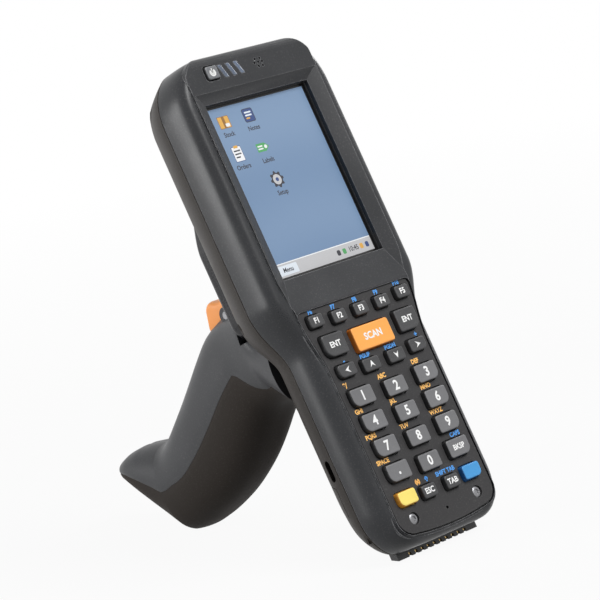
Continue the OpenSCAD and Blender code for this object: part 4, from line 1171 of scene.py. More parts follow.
@dataclass
class Grip:
    """The pistol grip: two hard shells, the rubber round the palm, and the saddle over them."""

    rubber_t: float = 1.6
    wall: float = 2.4
    slot_half: float = 6.9
    screws: tuple[Flat, ...] = ((18.0, 2.0), (44.0, -10.0), (67.0, -24.0))
    rows: tuple[tuple[float, float, float, float], ...] = (
        (-16, 2, -31, 25.5), (-10, 3, -25.6, 23.4), (-5, 8, -22.2, 21.4), (0.5, 19, -20.9, 19.6),
        (6, 18.3, -21.4, 18.2), (12, 17.5, -23, 17), (19, 16.4, -27.2, 16.5), (28, 14.2, -33.6, 16.5),
        (36, 9.7, -38.4, 16.5), (44.5, 4.2, -42.3, 16.5), (53, -1.3, -45.4, 16.5),
        (61, -6.2, -47.4, 16.5), (68, -10.3, -48.7, 16.3), (73, -12.8, -49.3, 16),
        (77, -13.8, -49.6, 15.8), (80, -13.5, -49.5, 15.6), (81, -13.2, -48.5, 15.5),
        (85, -12.1, -43.7, 15), (89, -11.3, -38.9, 14.6), (93.5, -10.6, -33.5, 14),
        (98, -10.6, -28.2, 13), (102, -11.2, -23.7, 11.6), (105.5, -12.2, -20.4, 9.6),
        (107.6, -13.8, -18.4, 7),
    )

    def stations(self, fine: int = 3) -> list[Station]:
        """Levels between the given rows, along a curve without overshoot."""
        table = np.array(self.rows, float)
        depth = table[:, 0]
        slopes = np.diff(table[:, 1:], axis=0) / np.diff(depth)[:, None]
        bend = np.vstack([slopes[:1], (slopes[:-1] + slopes[1:]) / 2, slopes[-1:]])
        for k in range(1, len(depth) - 1):
            turned = slopes[k - 1] * slopes[k] <= 0
            bend[k][turned] = 0
            steep = 2.0 * np.minimum(abs(slopes[k - 1]), abs(slopes[k]))
            bend[k] = np.sign(bend[k]) * np.minimum(abs(bend[k]), steep)
        out = []
        for k in range(len(depth) - 1):
            h = depth[k + 1] - depth[k]
            for j in range(fine):
                t = j / fine
                a, b = (1 + 2 * t) * (1 - t) ** 2, t * (1 - t) ** 2
                c, d = t * t * (3 - 2 * t), t * t * (t - 1)
                v = a * table[k, 1:] + b * h * bend[k] + c * table[k + 1, 1:] + d * h * bend[k + 1]
                out.append(Station(depth[k] + t * h, *v))
        return out + [Station(*self.rows[-1])]

    @staticmethod
    def body_block() -> Thing:
        """The rear half of the body, for cutting the top of the grip to it."""
        places = BODY.stations(0, BODY.plate_top - 48, BODY.plate_top + 12)
        return Mesher.loft("body", [BODY.rear_ring(y) for y in places])

    def core_ring(self, s: Station, steps: int = 22) -> list[Point]:
        """Left half of the hard core at a level, with fine grooves where it ends."""
        b = s.rubber_from
        ring = []
        for k in range(steps + 1):
            a = mix(0.01, b, k / steps)
            groove = 0.22 * (1 - ease(min(a, b - a) / 2.2))
            ring.append(s.point(a, groove))
        return ring + [s.point(mix(b, 179.99, k / 10), self.rubber_t) for k in range(11)]

    def half_shell(self, side: int) -> Thing:
        """Builds one hard shell.

        Args:
            side: -1 for the left one and 1 for the right one.

        Returns:
            The closed solid.
        """
        name = "grip_left_shell" if side < 0 else "grip_right_shell"
        shell = Mesher.loft(name, [self.core_ring(s) for s in self.stations()])
        cavity_rows = [Station(*self.rows[k]) for k in (0, 2, 4, 6, 8, 10, 12, 13)]
        rings = []
        for s in cavity_rows:
            ring = [s.point(a, self.wall + self.rubber_t) for a in range(10, 171, 20)]
            rings.append([(1.0, *ring[0][1:])] + ring + [(1.0, *ring[-1][1:])])
        Mesher.carve(shell, [Mesher.loft("cavity", rings), self.body_block()])
        low = (-74, BODY.plate_top + 1.7, SADDLE_Z)
        Mesher.carve(shell, [Mesher.block("saddle", low, (74, BODY.head_end, BODY.back_head + 2))])
        places = [(BODY.plate_top + v, SADDLE_Z - d) for d, v in self.screws]
        bosses = [Mesher.rod("boss", (-14, *at), (0, *at), 3, 24) for at in places]
        half = self.slot_half
        bosses.append(Mesher.rod("boss", (-12.2, *TRIGGER_PIVOT), (-half, *TRIGGER_PIVOT), 3.2, 32))
        Mesher.carve(shell, bosses, "UNION")
        y, z = TRIGGER_PIVOT
        swing = (z - TRIGGER_END) * math.sin(math.radians(TRIGGER_SWING_DEG))
        low = (-half, y - 4.6 - swing - 1, TRIGGER_END - 1.2)
        tools = [Mesher.block("slot", low, (half, y + 24, SADDLE_Z - 1.4)),
                 Mesher.rod("pin", (-33, y, z), (1, y, z), TRIGGER_PIN_R, 32)]
        start, bore = (-9, 1.25) if side < 0 else (-33, BORE_R)
        for at in places:
            tools.append(Mesher.rod("bore", (start, *at), (1, *at), bore, 24))
            if side > 0:
                tools.append(Mesher.rod("well", (-33, *at), (-9, *at), WELL_R, 32))
        Mesher.carve(shell, tools)
        if side > 0:
            shell.data.transform(Matrix.Scale(-1, 4, (1, 0, 0)))
            shell.data.flip_normals()
        return shell

    def rubber(self) -> Thing:
        """Builds the rubber skin, with its edges drawn in to the hard shells."""
        steps, outer, inner = 64, [], []
        for s in self.stations():
            b = s.rubber_from
            angles = [mix(b, 360 - b, k / steps) for k in range(steps + 1)]
            outer.append([s.point(a, 0.3 * (1 - ease(min(a - b, 360 - b - a) / 3.2) ** 0.6))
                          for a in angles])
            inner.append([s.point(a, self.rubber_t) for a in angles])
        rings = [o + i[::-1] for o, i in zip(outer, inner)]
        n = len(rings[0])
        points = [p for ring in rings for p in ring]
        faces = [(i * n + j, i * n + (j + 1) % n, (i + 1) * n + (j + 1) % n, (i + 1) * n + j)
                 for i in range(len(rings) - 1) for j in range(n)]
        half = steps + 1
        for base in (0, (len(rings) - 1) * n):
            faces += [(base + j, base + j + 1, base + n - 2 - j, base + n - 1 - j) for j in range(half - 1)]
        skin = Mesher.raw("grip_rubber", points, faces)
        Mesher.outwards(skin)
        Mesher.carve(skin, [self.body_block()])
        under = Mesher.block("under", (-74, -74, -80), (74, 400, 0))
        under.data.transform(STAND.matrix.inverted() @ Matrix.Scale(0.001, 4))
        return Mesher.carve(skin, [under])

    @staticmethod
    def saddle() -> Thing:
        """Builds the saddle between the head and the grip."""
        low, ramp = BODY.plate_top + 2, (BODY.plate_top + 65, BODY.plate_top + 36)

        def ring(y: float) -> list[Point]:
            """Section of the saddle at y, with rounded lower corners."""
            t = max(0.0, (y - ramp[1]) / (ramp[0] - ramp[1]))
            z = mix(SADDLE_Z, BODY.back_head + 0.6, t**1.4)
            a = 21.5 - rounded_off(y - low, 7, 9) - 3 * ease((y - ramp[1]) / 20)
            r = min(3.0, BODY.back_head + 1 - z) - 0.4 * ease(z - BODY.back_head + 1)
            turn = [math.radians(5 * k) for k in range(19)]
            right = [(a - r + r * math.cos(u), z + r - r * math.sin(u)) for u in turn]
            flat = [(a, BODY.back_head + 6.5)] + right
            return [(x, y, v) for x, v in flat + [(-x, v) for x, v in reversed(flat)]]

        steps = [low + 7 * (1 - math.cos(math.radians(5 * k))) for k in range(19)]
        steps += [mix(low + 7, ramp[1], k / 12) for k in range(1, 13)]
        steps += [mix(ramp[1], ramp[0], k / 24) for k in range(1, 25)]
        saddle = Mesher.loft("saddle_shell", [ring(y) for y in steps])
        body = [BODY.rear_ring(y) for y in BODY.stations(0, low - 8, ramp[0] + 12)]
        tools = [Mesher.loft("body", body)]
        for x, y in SADDLE_SCREWS:
            for name, start, end, r, sides in (("bore", -80, 0, BORE_R, 24),
                                               ("well", SADDLE_Z - 1, SADDLE_SCREW_Z, WELL_R, 32)):
                tools += sided(lambda s: Mesher.rod(name, (s * x, y, start), (s * x, y, end), r, sides))
        return Mesher.carve(saddle, tools)

    @staticmethod
    def trigger() -> Thing:
        """Builds the trigger with softly rounded edges."""
        y, z = TRIGGER_PIVOT
        crest, top, end, tip_r = -22.5, SADDLE_Z - 2.6, TRIGGER_END, 4.3
        outline = [(y - 4, top), (crest - 4.4, top), (crest - 3.6, top - 3), (crest - 2.9, top - 6.5),
                   (crest - 2.3, top - 10), (crest - 1.5, top - 14.5), (crest - 0.9, top - 17)]
        outline += [(crest - 4.6 + tip_r * math.cos(a), top - 19.4 + tip_r * math.sin(a))
                    for a in np.radians(range(0, -76, -8))]
        outline += [(crest - 9.6, end), (y - 4.6, end), (y - 4.6, top - 10)]
        middle = Vector([sum(p[a] for p in outline) / len(outline) for a in range(2)])
        edge = ((6.5, 2.4), (6.35, 1.7), (6.05, 1.05), (5.5, 0.5), (4.7, 0.15), (3.8, 0.0))
        rings = []
        for x, g in [(s * x, g) for s, part in ((-1, 1), (1, -1)) for x, g in edge[::part]]:
            inset = [Vector(p) - (Vector(p) - middle).normalized() * g for p in outline]
            rings.append([(x, q.x, q.y) for q in inset])
        blade = Mesher.loft("trigger_blade", rings)
        wire, space = 0.8, 0.6
        room = TRIGGER_PIN_R + wire + space
        return Mesher.carve(blade, [
            Mesher.rod("bore", (-13, y, z), (13, y, z), TRIGGER_PIN_R + 0.05, 32),
            Mesher.rod("room", (-2.3, y, z), (2.3, y, z), room, 32),
            Mesher.block("legs", (-2.3, y - 9, z - room), (2.3, y, z + room)),
        ])


# ---------------------------------------------------------------- repeated small things, grown by nodes


class Sprout:
    """A geometry node tree with named inputs, run on points and turned into plain mesh."""

    def __init__(self, name: str, floats: Sequence[str], vectors: Sequence[str] = ()) -> None:
        """Makes the tree, with inputs for a geometry and a material.

        Args:
            name: Name of the tree.
            floats: Names of the inputs that are numbers.
            vectors: Names of the inputs that are vectors.
        """
        self.group = bpy.data.node_groups.new(name, "GeometryNodeTree")
        face = self.group.interface
        face.new_socket("Geometry", in_out="INPUT", socket_type="NodeSocketGeometry")
        face.new_socket("Material", in_out="INPUT", socket_type="NodeSocketMaterial")
        for labels, kind in ((floats, "NodeSocketFloat"), (vectors, "NodeSocketVector")):
            for label in labels:
                face.new_socket(label, in_out="INPUT", socket_type=kind)
        face.new_socket("Geometry", in_out="OUTPUT", socket_type="NodeSocketGeometry")
        self.tree = Tree(self.group)
        self.ins = self.tree.add("NodeGroupInput").outputs
        self.out = self.tree.add("NodeGroupOutput").inputs[0]

    def node(self, kind: str, wires: dict[str, object], **values: object) -> bpy.types.Node:
        """Adds a node with some of its inputs wired or set."""
        made = self.tree.add(kind, **values)
        for label, source in wires.items():
            self.tree.wire(source, made.inputs[label])
        return made

    def moved(self, geometry: object, shift: object = (0, 0, 0), turn: object = (0, 0, 0),
              scale: object = (1, 1, 1)) -> object:
        """Adds a Transform node and returns its geometry."""
        wires = {"Geometry": geometry, "Translation": shift, "Rotation": turn, "Scale": scale}
        return self.node("GeometryNodeTransform", wires).outputs[0]

    def up(self, height: object) -> object:
        """A vector that points up by a height."""
        return self.node("ShaderNodeCombineXYZ", {"Z": height}).outputs[0]

    def drum(self, radius: object, depth: object, sides: int = 32, top: object | None = None) -> object:
        """Adds a round bar, or a cone where top is given, and returns its geometry."""
        wires = {"Radius Bottom": radius, "Radius Top": radius if top is None else top, "Depth": depth,
                 "Vertices": sides}
        return self.node("GeometryNodeMeshCone", wires).outputs[0]

    def cut(self, way: str, first: object, others: Sequence[object]) -> object:
        """Adds a boolean node and returns its geometry."""
        made = self.tree.add("GeometryNodeMeshBoolean", operation=way, solver="MANIFOLD")
        self.tree.wire(first, made.inputs[0 if way == "DIFFERENCE" else 1])
        for source in others:
            self.tree.wire(source, made.inputs[1])
        return made.outputs[0]

    def end(self, geometry: object) -> None:
        """Realizes the instances, sets the material and ends the tree."""
        real = self.node("GeometryNodeRealizeInstances", {"Geometry": geometry}).outputs[0]
        dressed = self.node("GeometryNodeSetMaterial", {"Geometry": real, "Material": self.ins["Material"]})
        self.tree.wire(dressed.outputs[0], self.out)

    def grow(self, name: str, points: Sequence[Point], material: Look,
             values: dict[str, object]) -> Thing:
        """Runs the tree on a set of points.

        Args:
            name: Name of the object.
            points: Where the things go, in the lying frame.
            material: What they are made of.
            values: The other inputs, by name.

        Returns:
            The plain mesh object.
        """
        thing = Mesher.raw(name, points, [])
        live = thing.modifiers.new("sprout", "NODES")
        live.node_group = self.group
        sockets = {s.name: s.identifier for s in self.group.interface.items_tree if s.in_out == "INPUT"}
        live[sockets["Material"]] = material
        for label, value in values.items():
            live[sockets[label]] = value
        Mesher.settle(thing)
        return thing


SCREW_SIZES = ("Head Radius", "Head Height", "Shank Radius", "Shank Length", "Recess Radius",
               "Recess Depth")


def screw_tree() -> Sprout:
    """A screw with a rounded head and a six-sided recess, set on each point."""
    s = Sprout("Screws", SCREW_SIZES, ["Turn"])
    i, t = s.ins, s.tree
    base = t.math("MULTIPLY", i["Head Height"], 0.6)
    crown = t.math("MULTIPLY", i["Head Height"], 0.4)
    head = s.drum(i["Head Radius"], base)
    dome = s.moved(s.drum(i["Head Radius"], crown, top=t.math("MULTIPLY", i["Head Radius"], 0.72)),
                   s.up(base))
    floor = t.math("SUBTRACT", i["Head Height"], i["Recess Depth"])
    recess = s.moved(s.drum(i["Recess Radius"], 3.0, sides=6), s.up(floor))
    shank_low = t.math("SUBTRACT", 0.0, i["Shank Length"])
    shank = s.moved(s.drum(i["Shank Radius"], t.math("ADD", i["Shank Length"], 0.1), sides=20),
                    s.up(shank_low))
    solid = s.cut("UNION", head, [dome, shank])
    solid = s.cut("DIFFERENCE", solid, [recess])
    spread = s.node("GeometryNodeInstanceOnPoints",
                    {"Points": i["Geometry"], "Instance": solid, "Rotation": i["Turn"]})
    s.end(spread.outputs[0])
    return s


def contact_tree() -> Sprout:
    """Spring contacts in a row: a flat bar with a raised rib along it."""
    s = Sprout("Contacts", ["Width", "Length", "Height"])
    i, t = s.ins, s.tree
    size = s.node("ShaderNodeCombineXYZ",
                  {"X": i["Width"], "Y": i["Length"], "Z": t.math("MULTIPLY", i["Height"], 0.6)})
    bar = s.node("GeometryNodeMeshCube", {"Size": size.outputs[0]}).outputs[0]
    rib = s.drum(t.math("MULTIPLY", i["Height"], 0.5), i["Length"], sides=16)
    shift = s.node("ShaderNodeCombineXYZ",
                   {"Y": t.math("MULTIPLY", i["Length"], 0.5), "Z": t.math("MULTIPLY", i["Height"], 0.2)})
    rib = s.moved(rib, shift.outputs[0], (math.pi / 2, 0, 0))
    made = s.cut("UNION", bar, [rib])
    spread = s.node("GeometryNodeInstanceOnPoints", {"Points": i["Geometry"], "Instance": made})
    s.end(spread.outputs[0])
    return s


def spring_tree() -> Sprout:
    """A torsion spring: a coil about its own axis, with a leg at each end."""
    s = Sprout("Torsion Spring", ["Radius", "Length", "Turns", "Wire", "Leg"])
    i, t = s.ins, s.tree
    coil = s.node("GeometryNodeCurveSpiral", {
        "Resolution": 24, "Rotations": i["Turns"], "Start Radius": i["Radius"],
        "End Radius": i["Radius"], "Height": i["Length"],
    }).outputs[0]
    legs = []
    for height in (0.0, i["Length"]):
        start = {"X": i["Radius"], "Z": height}
        end = {**start, "Y": t.math("MULTIPLY", i["Leg"], -1.0)}
        start_at, end_at = (s.node("ShaderNodeCombineXYZ", place).outputs[0] for place in (start, end))
        legs.append(s.node("GeometryNodeCurvePrimitiveLine", {"Start": start_at, "End": end_at}).outputs[0])
    profile = s.node("GeometryNodeCurvePrimitiveCircle", {"Resolution": 12, "Radius": i["Wire"]}).outputs[0]
    tubes = [s.node("GeometryNodeCurveToMesh",
                    {"Curve": c, "Profile Curve": profile, "Fill Caps": True}).outputs[0]
             for c in [coil] + legs]
    both = t.add("GeometryNodeJoinGeometry")
    for tube in tubes:
        t.wire(tube, both.inputs[0])
    spread = s.node("GeometryNodeInstanceOnPoints", {
        "Points": i["Geometry"], "Instance": both.outputs[0], "Rotation": (0, math.pi / 2, 0),
    })
    s.end(spread.outputs[0])
    return s


# ---------------------------------------------------------------- putting it together


class Palette:
    """Every finish of the terminal, made once."""

    def __init__(self) -> None:
        """Builds the materials."""
        effects = Effects()
        grey, steel = (0.3, 0.3, 0.31), (0.55, 0.55, 0.56)
        moulded = [
            # On the front shell the light edge colour at full amount is a painted highlight along its
            # ridges and edges.
            Finish("satin_charcoal", (0.022, 0.023, 0.0255), 0.31, 2300, 0.000005, 0.05, 1.0,
                   (0.30, 0.30, 0.31), specular=0.3, radius=0.0003),
            Finish("warm_charcoal", (0.019, 0.0155, 0.013), 0.45, 2100, 0.00001, 0.06, 0.3,
                   (0.12, 0.11, 0.10), specular=0.2),
            Finish("keypad_plate", (0.033, 0.032, 0.033), 0.42, 2600, 0.000006, 0.05, 0.4,
                   (0.16, 0.16, 0.165), specular=0.25),
            Finish("saddle_gloss", (0.014, 0.014, 0.016), 0.25, 1500, 0.000003, 0.05, 0.5,
                   (0.2, 0.2, 0.21), specular=0.3),
            Finish("grip_shell", (0.031, 0.032, 0.035), 0.38, 2000, 0.00001, 0.06, 0.3,
                   (0.15, 0.15, 0.155), specular=0.3),
            Finish("soft_rubber", (0.027, 0.0225, 0.0195), 0.62, 1400, 0.00002, 0.08, 0.2,
                   (0.07, 0.065, 0.06), specular=0.1, dust=0.02),
            Finish("trigger_orange", (0.82, 0.30, 0.07), 0.38, 1800, 0.000006, 0.05, 0.25,
                   (0.9, 0.5, 0.25)),
            Finish("power_silver", (0.15, 0.155, 0.165), 0.3, 1800, 0.000004, 0.05, 0.3, grey),
            Finish("black_trim", (0.012, 0.012, 0.013), 0.32, 1800, 0.000005, 0.1, 0.3,
                   (0.08, 0.08, 0.085)),
            Finish("black_glass", (0.008, 0.008, 0.009), 0.08, 600, 0.0, 0.05, 0.0, grey, coat=1.0,
                   coat_rough=0.03),
            Finish("red_glass", (0.10, 0.006, 0.006), 0.08, 600, 0.0, 0.05, 0.1, grey, coat=1.0,
                   coat_rough=0.03),
            Finish("steel", (0.56, 0.56, 0.57), 0.26, 4200, 0.000003, 0.05, 0.4, (0.75, 0.75, 0.76),
                   metal=1.0, radius=0.00015),
            Finish("gold_plate", (0.80, 0.58, 0.26), 0.25, 3000, 0.000002, 0.04, 0.3, (0.9, 0.75, 0.5),
                   metal=1.0, radius=0.0001),
            Finish("green_board", (0.016, 0.10, 0.045), 0.34, 900, 0.00002, 0.2, 0.3, (0.5, 0.4, 0.2),
                   coat=0.4),
            Finish("pressed_metal", (0.30, 0.31, 0.33), 0.34, 1500, 0.000006, 0.08, 0.4, steel, metal=1.0),
            Finish("battery_case", (0.042, 0.045, 0.055), 0.42, 1900, 0.00001, 0.08, 0.3, grey),
            Finish("speaker_cloth", (0.02, 0.02, 0.022), 0.7, 4800, 0.00005, 0.2, 0.1, grey, dust=0.1),
            Finish("light_pipe", (0.085, 0.12, 0.19), 0.15, 800, 0.0, 0.4, 0.9, (0.45, 0.50, 0.58),
                   coat=0.6, dust=0.0),
            Finish("dark_steel", (0.24, 0.24, 0.25), 0.3, 3000, 0.000003, 0.05, 0.3, (0.5, 0.5, 0.5),
                   metal=1.0, radius=0.00015),
            # Each key colour below has a darker side finish for the side walls of the keys and the power
            # key: painted shade.
            Finish(Tone.DARK.value, (0.036, 0.036, 0.038), 0.40, 2200, 0.000006, 0.08, 0.4,
                   (0.10, 0.10, 0.105)),
            Finish(Tone.DIGIT.value, (0.145, 0.145, 0.150), 0.42, 2200, 0.000006, 0.06, 0.4,
                   (0.26, 0.26, 0.27)),
            Finish("key_side", (0.016, 0.016, 0.017), 0.5, 2200, 0.000006, 0.06, 0.2, (0.05, 0.05, 0.052)),
            Finish(Tone.SCAN.value, (0.90, 0.38, 0.075), 0.42, 2200, 0.000006, 0.05, 0.3,
                   (0.95, 0.55, 0.22)),
            Finish(Tone.SCAN.side, (0.62, 0.17, 0.015), 0.5, 2200, 0.000006, 0.05, 0.2, (0.8, 0.35, 0.1)),
            Finish(Tone.YELLOW.value, (0.92, 0.74, 0.17), 0.42, 2200, 0.000006, 0.05, 0.3,
                   (0.97, 0.85, 0.4)),
            Finish(Tone.YELLOW.side, (0.78, 0.33, 0.03), 0.5, 2200, 0.000006, 0.05, 0.2, (0.9, 0.5, 0.15)),
            Finish(Tone.BLUE.value, (0.050, 0.29, 0.62), 0.42, 2200, 0.000006, 0.05, 0.3, (0.25, 0.5, 0.8)),
            Finish(Tone.BLUE.side, (0.015, 0.11, 0.33), 0.5, 2200, 0.000006, 0.05, 0.2, (0.1, 0.3, 0.6)),
            Finish(Tone.POWER.side, (0.05, 0.051, 0.054), 0.4, 1800, 0.000004, 0.05, 0.3, (0.2, 0.2, 0.2)),
        ]
        printed = [
            # The prints on keys and plate glow a little: painted light, as they are no lamps.
            Printed("print_white", (0.84, 0.84, 0.83), 0.08),
            Printed("print_orange", (0.92, 0.50, 0.13), 0.12),
            Printed("print_blue", (0.07, 0.31, 0.76), 0.12),
            Printed("screen_border", (0.010, 0.009, 0.009), rough=0.3),
            Printed("screen_bar", (0.45, 0.45, 0.46), 0.15),
            Printed("screen_pale", (0.62, 0.67, 0.72), 0.15),
            Printed("screen_white", (0.72, 0.73, 0.74), 0.15),
            Printed("screen_green", (0.07, 0.30, 0.10), 0.15),
            Printed("screen_amber", (0.62, 0.34, 0.07), 0.15),
            Printed("screen_brown", (0.25, 0.12, 0.03), 0.1),
            Printed("screen_navy", (0.03, 0.06, 0.18), 0.1),
            Printed("screen_ink", (0.03, 0.03, 0.04), 0.0),
        ]
        self.all: dict[str, Look] = {f.name: f.make(effects) for f in moulded}
        self.all.update({p.name: p.make() for p in printed})
        self.all["screen_sky"] = self._sky()

    def __getitem__(self, name: str) -> Look:
        """The material of that name."""
        return self.all[name]

    @staticmethod
    def _sky() -> Look:
        """The lit background of the display: a soft blue ramp with slow bands of light across it."""
        material, t, where, shader = new_look("screen_sky")
        along = STAND.direction(0.35, 1, 0)
        middle = STAND.matrix.translation
        place = t.add("ShaderNodeVectorMath", operation="SUBTRACT")
        t.wire(where, place.inputs[0])
        t.wire(tuple(middle), place.inputs[1])
        dot = t.add("ShaderNodeVectorMath", operation="DOT_PRODUCT")
        t.wire(place.outputs[0], dot.inputs[0])
        t.wire(tuple(along), dot.inputs[1])
        height = dot.outputs["Value"]
        base = t.blend(t.span(height, -0.034, 0.038, 0, 1), (0.112, 0.182, 0.295, 1),
                       (0.130, 0.200, 0.310, 1))
        wave = t.add("ShaderNodeTexWave", wave_type="RINGS", rings_direction="SPHERICAL")
        for label, value in (("Vector", where), ("Scale", 9), ("Distortion", 1.5), ("Detail", 1)):
            t.wire(value, wave.inputs[label])
        glow = t.blend(t.math("MULTIPLY", wave.outputs["Fac"], 0.06), base, (0.45, 0.56, 0.70, 1))
        t.wire(glow, shader.inputs["Base Color"])
        t.wire(glow, shader.inputs["Emission Color"])
        shader.inputs["Emission Strength"].default_value = 0.28
        shader.inputs["Roughness"].default_value = 0.35
        return material


@dataclass
class Terminal:
    """The whole terminal, piece by piece."""

    looks: Palette
    keypad: Keypad = field(default_factory=Keypad)

    SLOTS = {
        "display_window": "black_glass", "window_gasket": "black_trim", "display_module": "pressed_metal",
        "main_board": "green_board", "keypad_board": "green_board", "key_mat": "soft_rubber",
        "light_pipes": "light_pipe", "speaker": "speaker_cloth", "microphone": "pressed_metal",
        "scan_engine": "black_trim", "scan_window": "red_glass", "dock_connector": "black_trim",
        "battery": "battery_case", "cover_pin": "steel", "trigger_pin": "dark_steel",
        "keypad_panel": "keypad_plate",
    }

    def shells(self) -> None:
        """The two body shells, the battery cover and its lock."""
        front, rear = FrontShell(), RearShell()
        Mesher.finish(front.build(), self.looks["satin_charcoal"], "terminal", "shell", ["front_shell"],
                      level=True)
        Mesher.finish(rear.build(), self.looks["warm_charcoal"], "terminal", "rear_shell", ["rear_shell"])
        Mesher.finish(rear.cover(), self.looks["warm_charcoal"], "cover", "rear_shell", ["battery_cover"])
        Mesher.finish(rear.lock(), self.looks["black_trim"], "lock", "connector", ["cover_lock"])

    def handle(self) -> None:
        """The saddle, the grip and the trigger."""
        grip = Grip()
        Mesher.finish(grip.saddle(), self.looks["saddle_gloss"], "terminal", "saddle", ["saddle_plate"])
        for side, name in ((-1, "grip_left"), (1, "grip_right")):
            Mesher.finish(grip.half_shell(side), self.looks["grip_shell"], "terminal", "grip", [name])
        Mesher.finish(grip.rubber(), self.looks["soft_rubber"], "terminal", "overmould", ["grip_overmould"])
        Mesher.finish(grip.trigger(), self.looks["trigger_orange"], "trigger", "trigger", ["trigger"])

    def key_caps(self) -> None:
        """Every key with its legend, and the power key with its ring mark."""
        white = self.looks["print_white"]
        slots = {Tone.DARK: "dark_keys", Tone.DIGIT: "digit_keys", Tone.SCAN: "key_scan",
                 Tone.YELLOW: "key_yellow", Tone.BLUE: "key_blue"}
        sizes = {"SCAN": 2.5, "ENT": 2.05, "BKSP": 1.9, "ESC": 2.0, "TAB": 2.0, ".": 4.0}
        z = KEY_TOP - 0.055
        for key in self.keypad.keys.values():
            cap = key.build()
            key.dress(cap, self.looks[key.tone.value], self.looks[key.tone.side])
            things = [cap]
            if key.legend in Lettering.MARKS:
                things.append(Lettering.shape(Lettering.MARKS[key.legend], key.x, key.y, z, white))
            elif key.legend:
                size = sizes.get(key.legend, 2.0 if key.legend.startswith("F") else 3.4)
                lift = 0.7 if key.legend == "." else 0.0
                things.append(Lettering.word(key.legend, key.x, key.y + lift, z, size, white, 0.96, 0.045))
            cap = Mesher.joined(key.name + "_top", things)
            Mesher.finish(cap, None, key.name, slots[key.tone], [key.name])
        x, y = POWER
        power = Key("power_key", x, y, *POWER_SIZE, top=BODY.rim_z + 0.9)
        cap = power.build(BODY.rim_z - BODY.wall - 1.3)
        power.dress(cap, self.looks[Tone.POWER.value], self.looks[Tone.POWER.side])
        high = BODY.rim_z + 0.845
        ring = Lettering.shape(Lettering.arc(1.25, 0.32, 125, 415, 40), x, y - 0.15, high, white)
        bar = Lettering.shape(Lettering.box(0.32, 1.3, 0.1), x, y + 0.95, high, white)
        Mesher.finish(Mesher.joined("power_key_top", [cap, ring, bar]), None, "power_key", "power_key",
                      ["power_key"])

    def plate_prints(self) -> None:
        """Small words and marks on the keypad plate, round the keys."""
        orange, blue = self.looks["print_orange"], self.looks["print_blue"]
        z = PLATE_Z
        keys = self.keypad.keys
        things = []
        words = [(f"f{i + 1}", f"F{i + 6}", 0.1, 3.75, 1.6, blue) for i in range(5)]
        columns = (
            (-3.7, (("4", "GHI"), ("7", "PQRS"), ("point", "SPACE"))),
            (-3.0, (("2", "ABC"), ("5", "JKL"), ("8", "TUV"))),
            (-1.7, (("3", "DEF"), ("6", "MNO"), ("9", "WXYZ"))),
        )
        words += [(n, t, dx, 5.0, 1.6, orange) for dx, column in columns for n, t in column]
        words += [
            ("1", "*/", -4.4, 5.3, 1.9, orange), ("backspace", "CAPS", 2.4, 4.75, 1.6, blue),
            ("tab", "SHIFT TAB", 0.0, 4.1, 1.55, blue), ("up", "PGUP", 0.0, 3.6, 1.5, blue),
            ("down", "PGDN", 0.3, 3.7, 1.5, blue), ("left", "-", 1.6, 3.5, 2.0, blue),
            ("right", "+", 2.6, 3.7, 1.8, blue),
        ]
        for name, text, dx, dy, size, tone in words:
            k = keys["key_" + name]
            things.append(Lettering.word(text, k.x + dx, k.y + dy, z, size, tone, 0.95, 0.06))
        k = keys["key_escape"]
        for r, start, end in ((0.45, 0, 360), (1.05, 110, 250), (1.05, -70, 70)):
            things.append(Lettering.shape(Lettering.arc(r, 0.3, start, end, 24), k.x - 2.2, k.y + 4.3, z,
                                          orange, 0.03))
        things.append(Lettering.shape(Lettering.arc(0.6, 0.28, -60, 240, 24), k.x + 2.3, k.y + 4.4, z,
                                      blue, 0.03))
        things.append(Lettering.shape(Lettering.box(0.6, 0.5, 0.1), k.x + 2.3, k.y + 3.55, z, blue, 0.03))
        Mesher.finish(Mesher.joined("plate_prints", things), None, "terminal", "panel")

    def picture(self) -> None:
        """What the display shows: a plain desktop with marks in two columns and a bar with the time."""
        w, h, layer = 48.6, 64.8, 0.01
        z, top = 2 * layer, 3 * layer
        bar_y, menu_x = -h / 2 + 2.5, -w / 2 + 5.6
        things: list[Thing] = []

        def flat(size: tuple[float, float, float], at: Point, tone: str, thick: float = layer) -> None:
            """Adds a rounded rectangle: width, height and corner, then its middle and lowest height."""
            material = self.looks["screen_" + tone]
            things.append(Lettering.shape(Lettering.box(*size), *at, material, thick))

        def word(text: str, at: Point, size: float) -> None:
            """Adds a dark word."""
            ink = self.looks["screen_ink"]
            things.append(Lettering.word(text, *at, size, ink, 0.9, 0.03, layer))

        flat((w + 2.3, h + 2.3, 0.2), (0, 0, 0), "border")
        flat((w, h, 0.1), (0, 0, layer), "sky")
        flat((w, 5.0, 0.1), (0, bar_y, z), "bar")
        flat((w, 0.35, 0.1), (0, -h / 2 + 5.1, z), "white", 0.012)
        flat((9.5, 3.6, 0.5), (menu_x, bar_y, top), "pale")
        word("Menu", (menu_x, bar_y, top + layer), 1.7)
        word("10:45", (w / 2 - 9.7, bar_y, top), 1.8)
        for k, tone in enumerate(("navy", "amber", "green", "ink")):
            x = w / 2 - 6.8 - 2.9 * k + (9.2 if k < 2 else -4.0) * 0.45
            flat((1.7, 2.0, 0.5), (x, bar_y, top), tone)
        spots = (("Stock", 0, 0), ("Orders", 0, 1), ("Labels", 1, 1), ("Setup", 1, 2), ("Notes", 1, 0))
        for label, column, row in spots:
            x, y = -w / 2 + 6.4 + 12.2 * column, h / 2 - 5.2 - 12.6 * row
            things += self.pictogram(label, x, y, z)
            word(label, (x, y - 5.0, z), 1.75)
        Mesher.finish(Mesher.joined("display_picture", things), None, "terminal", "screen")

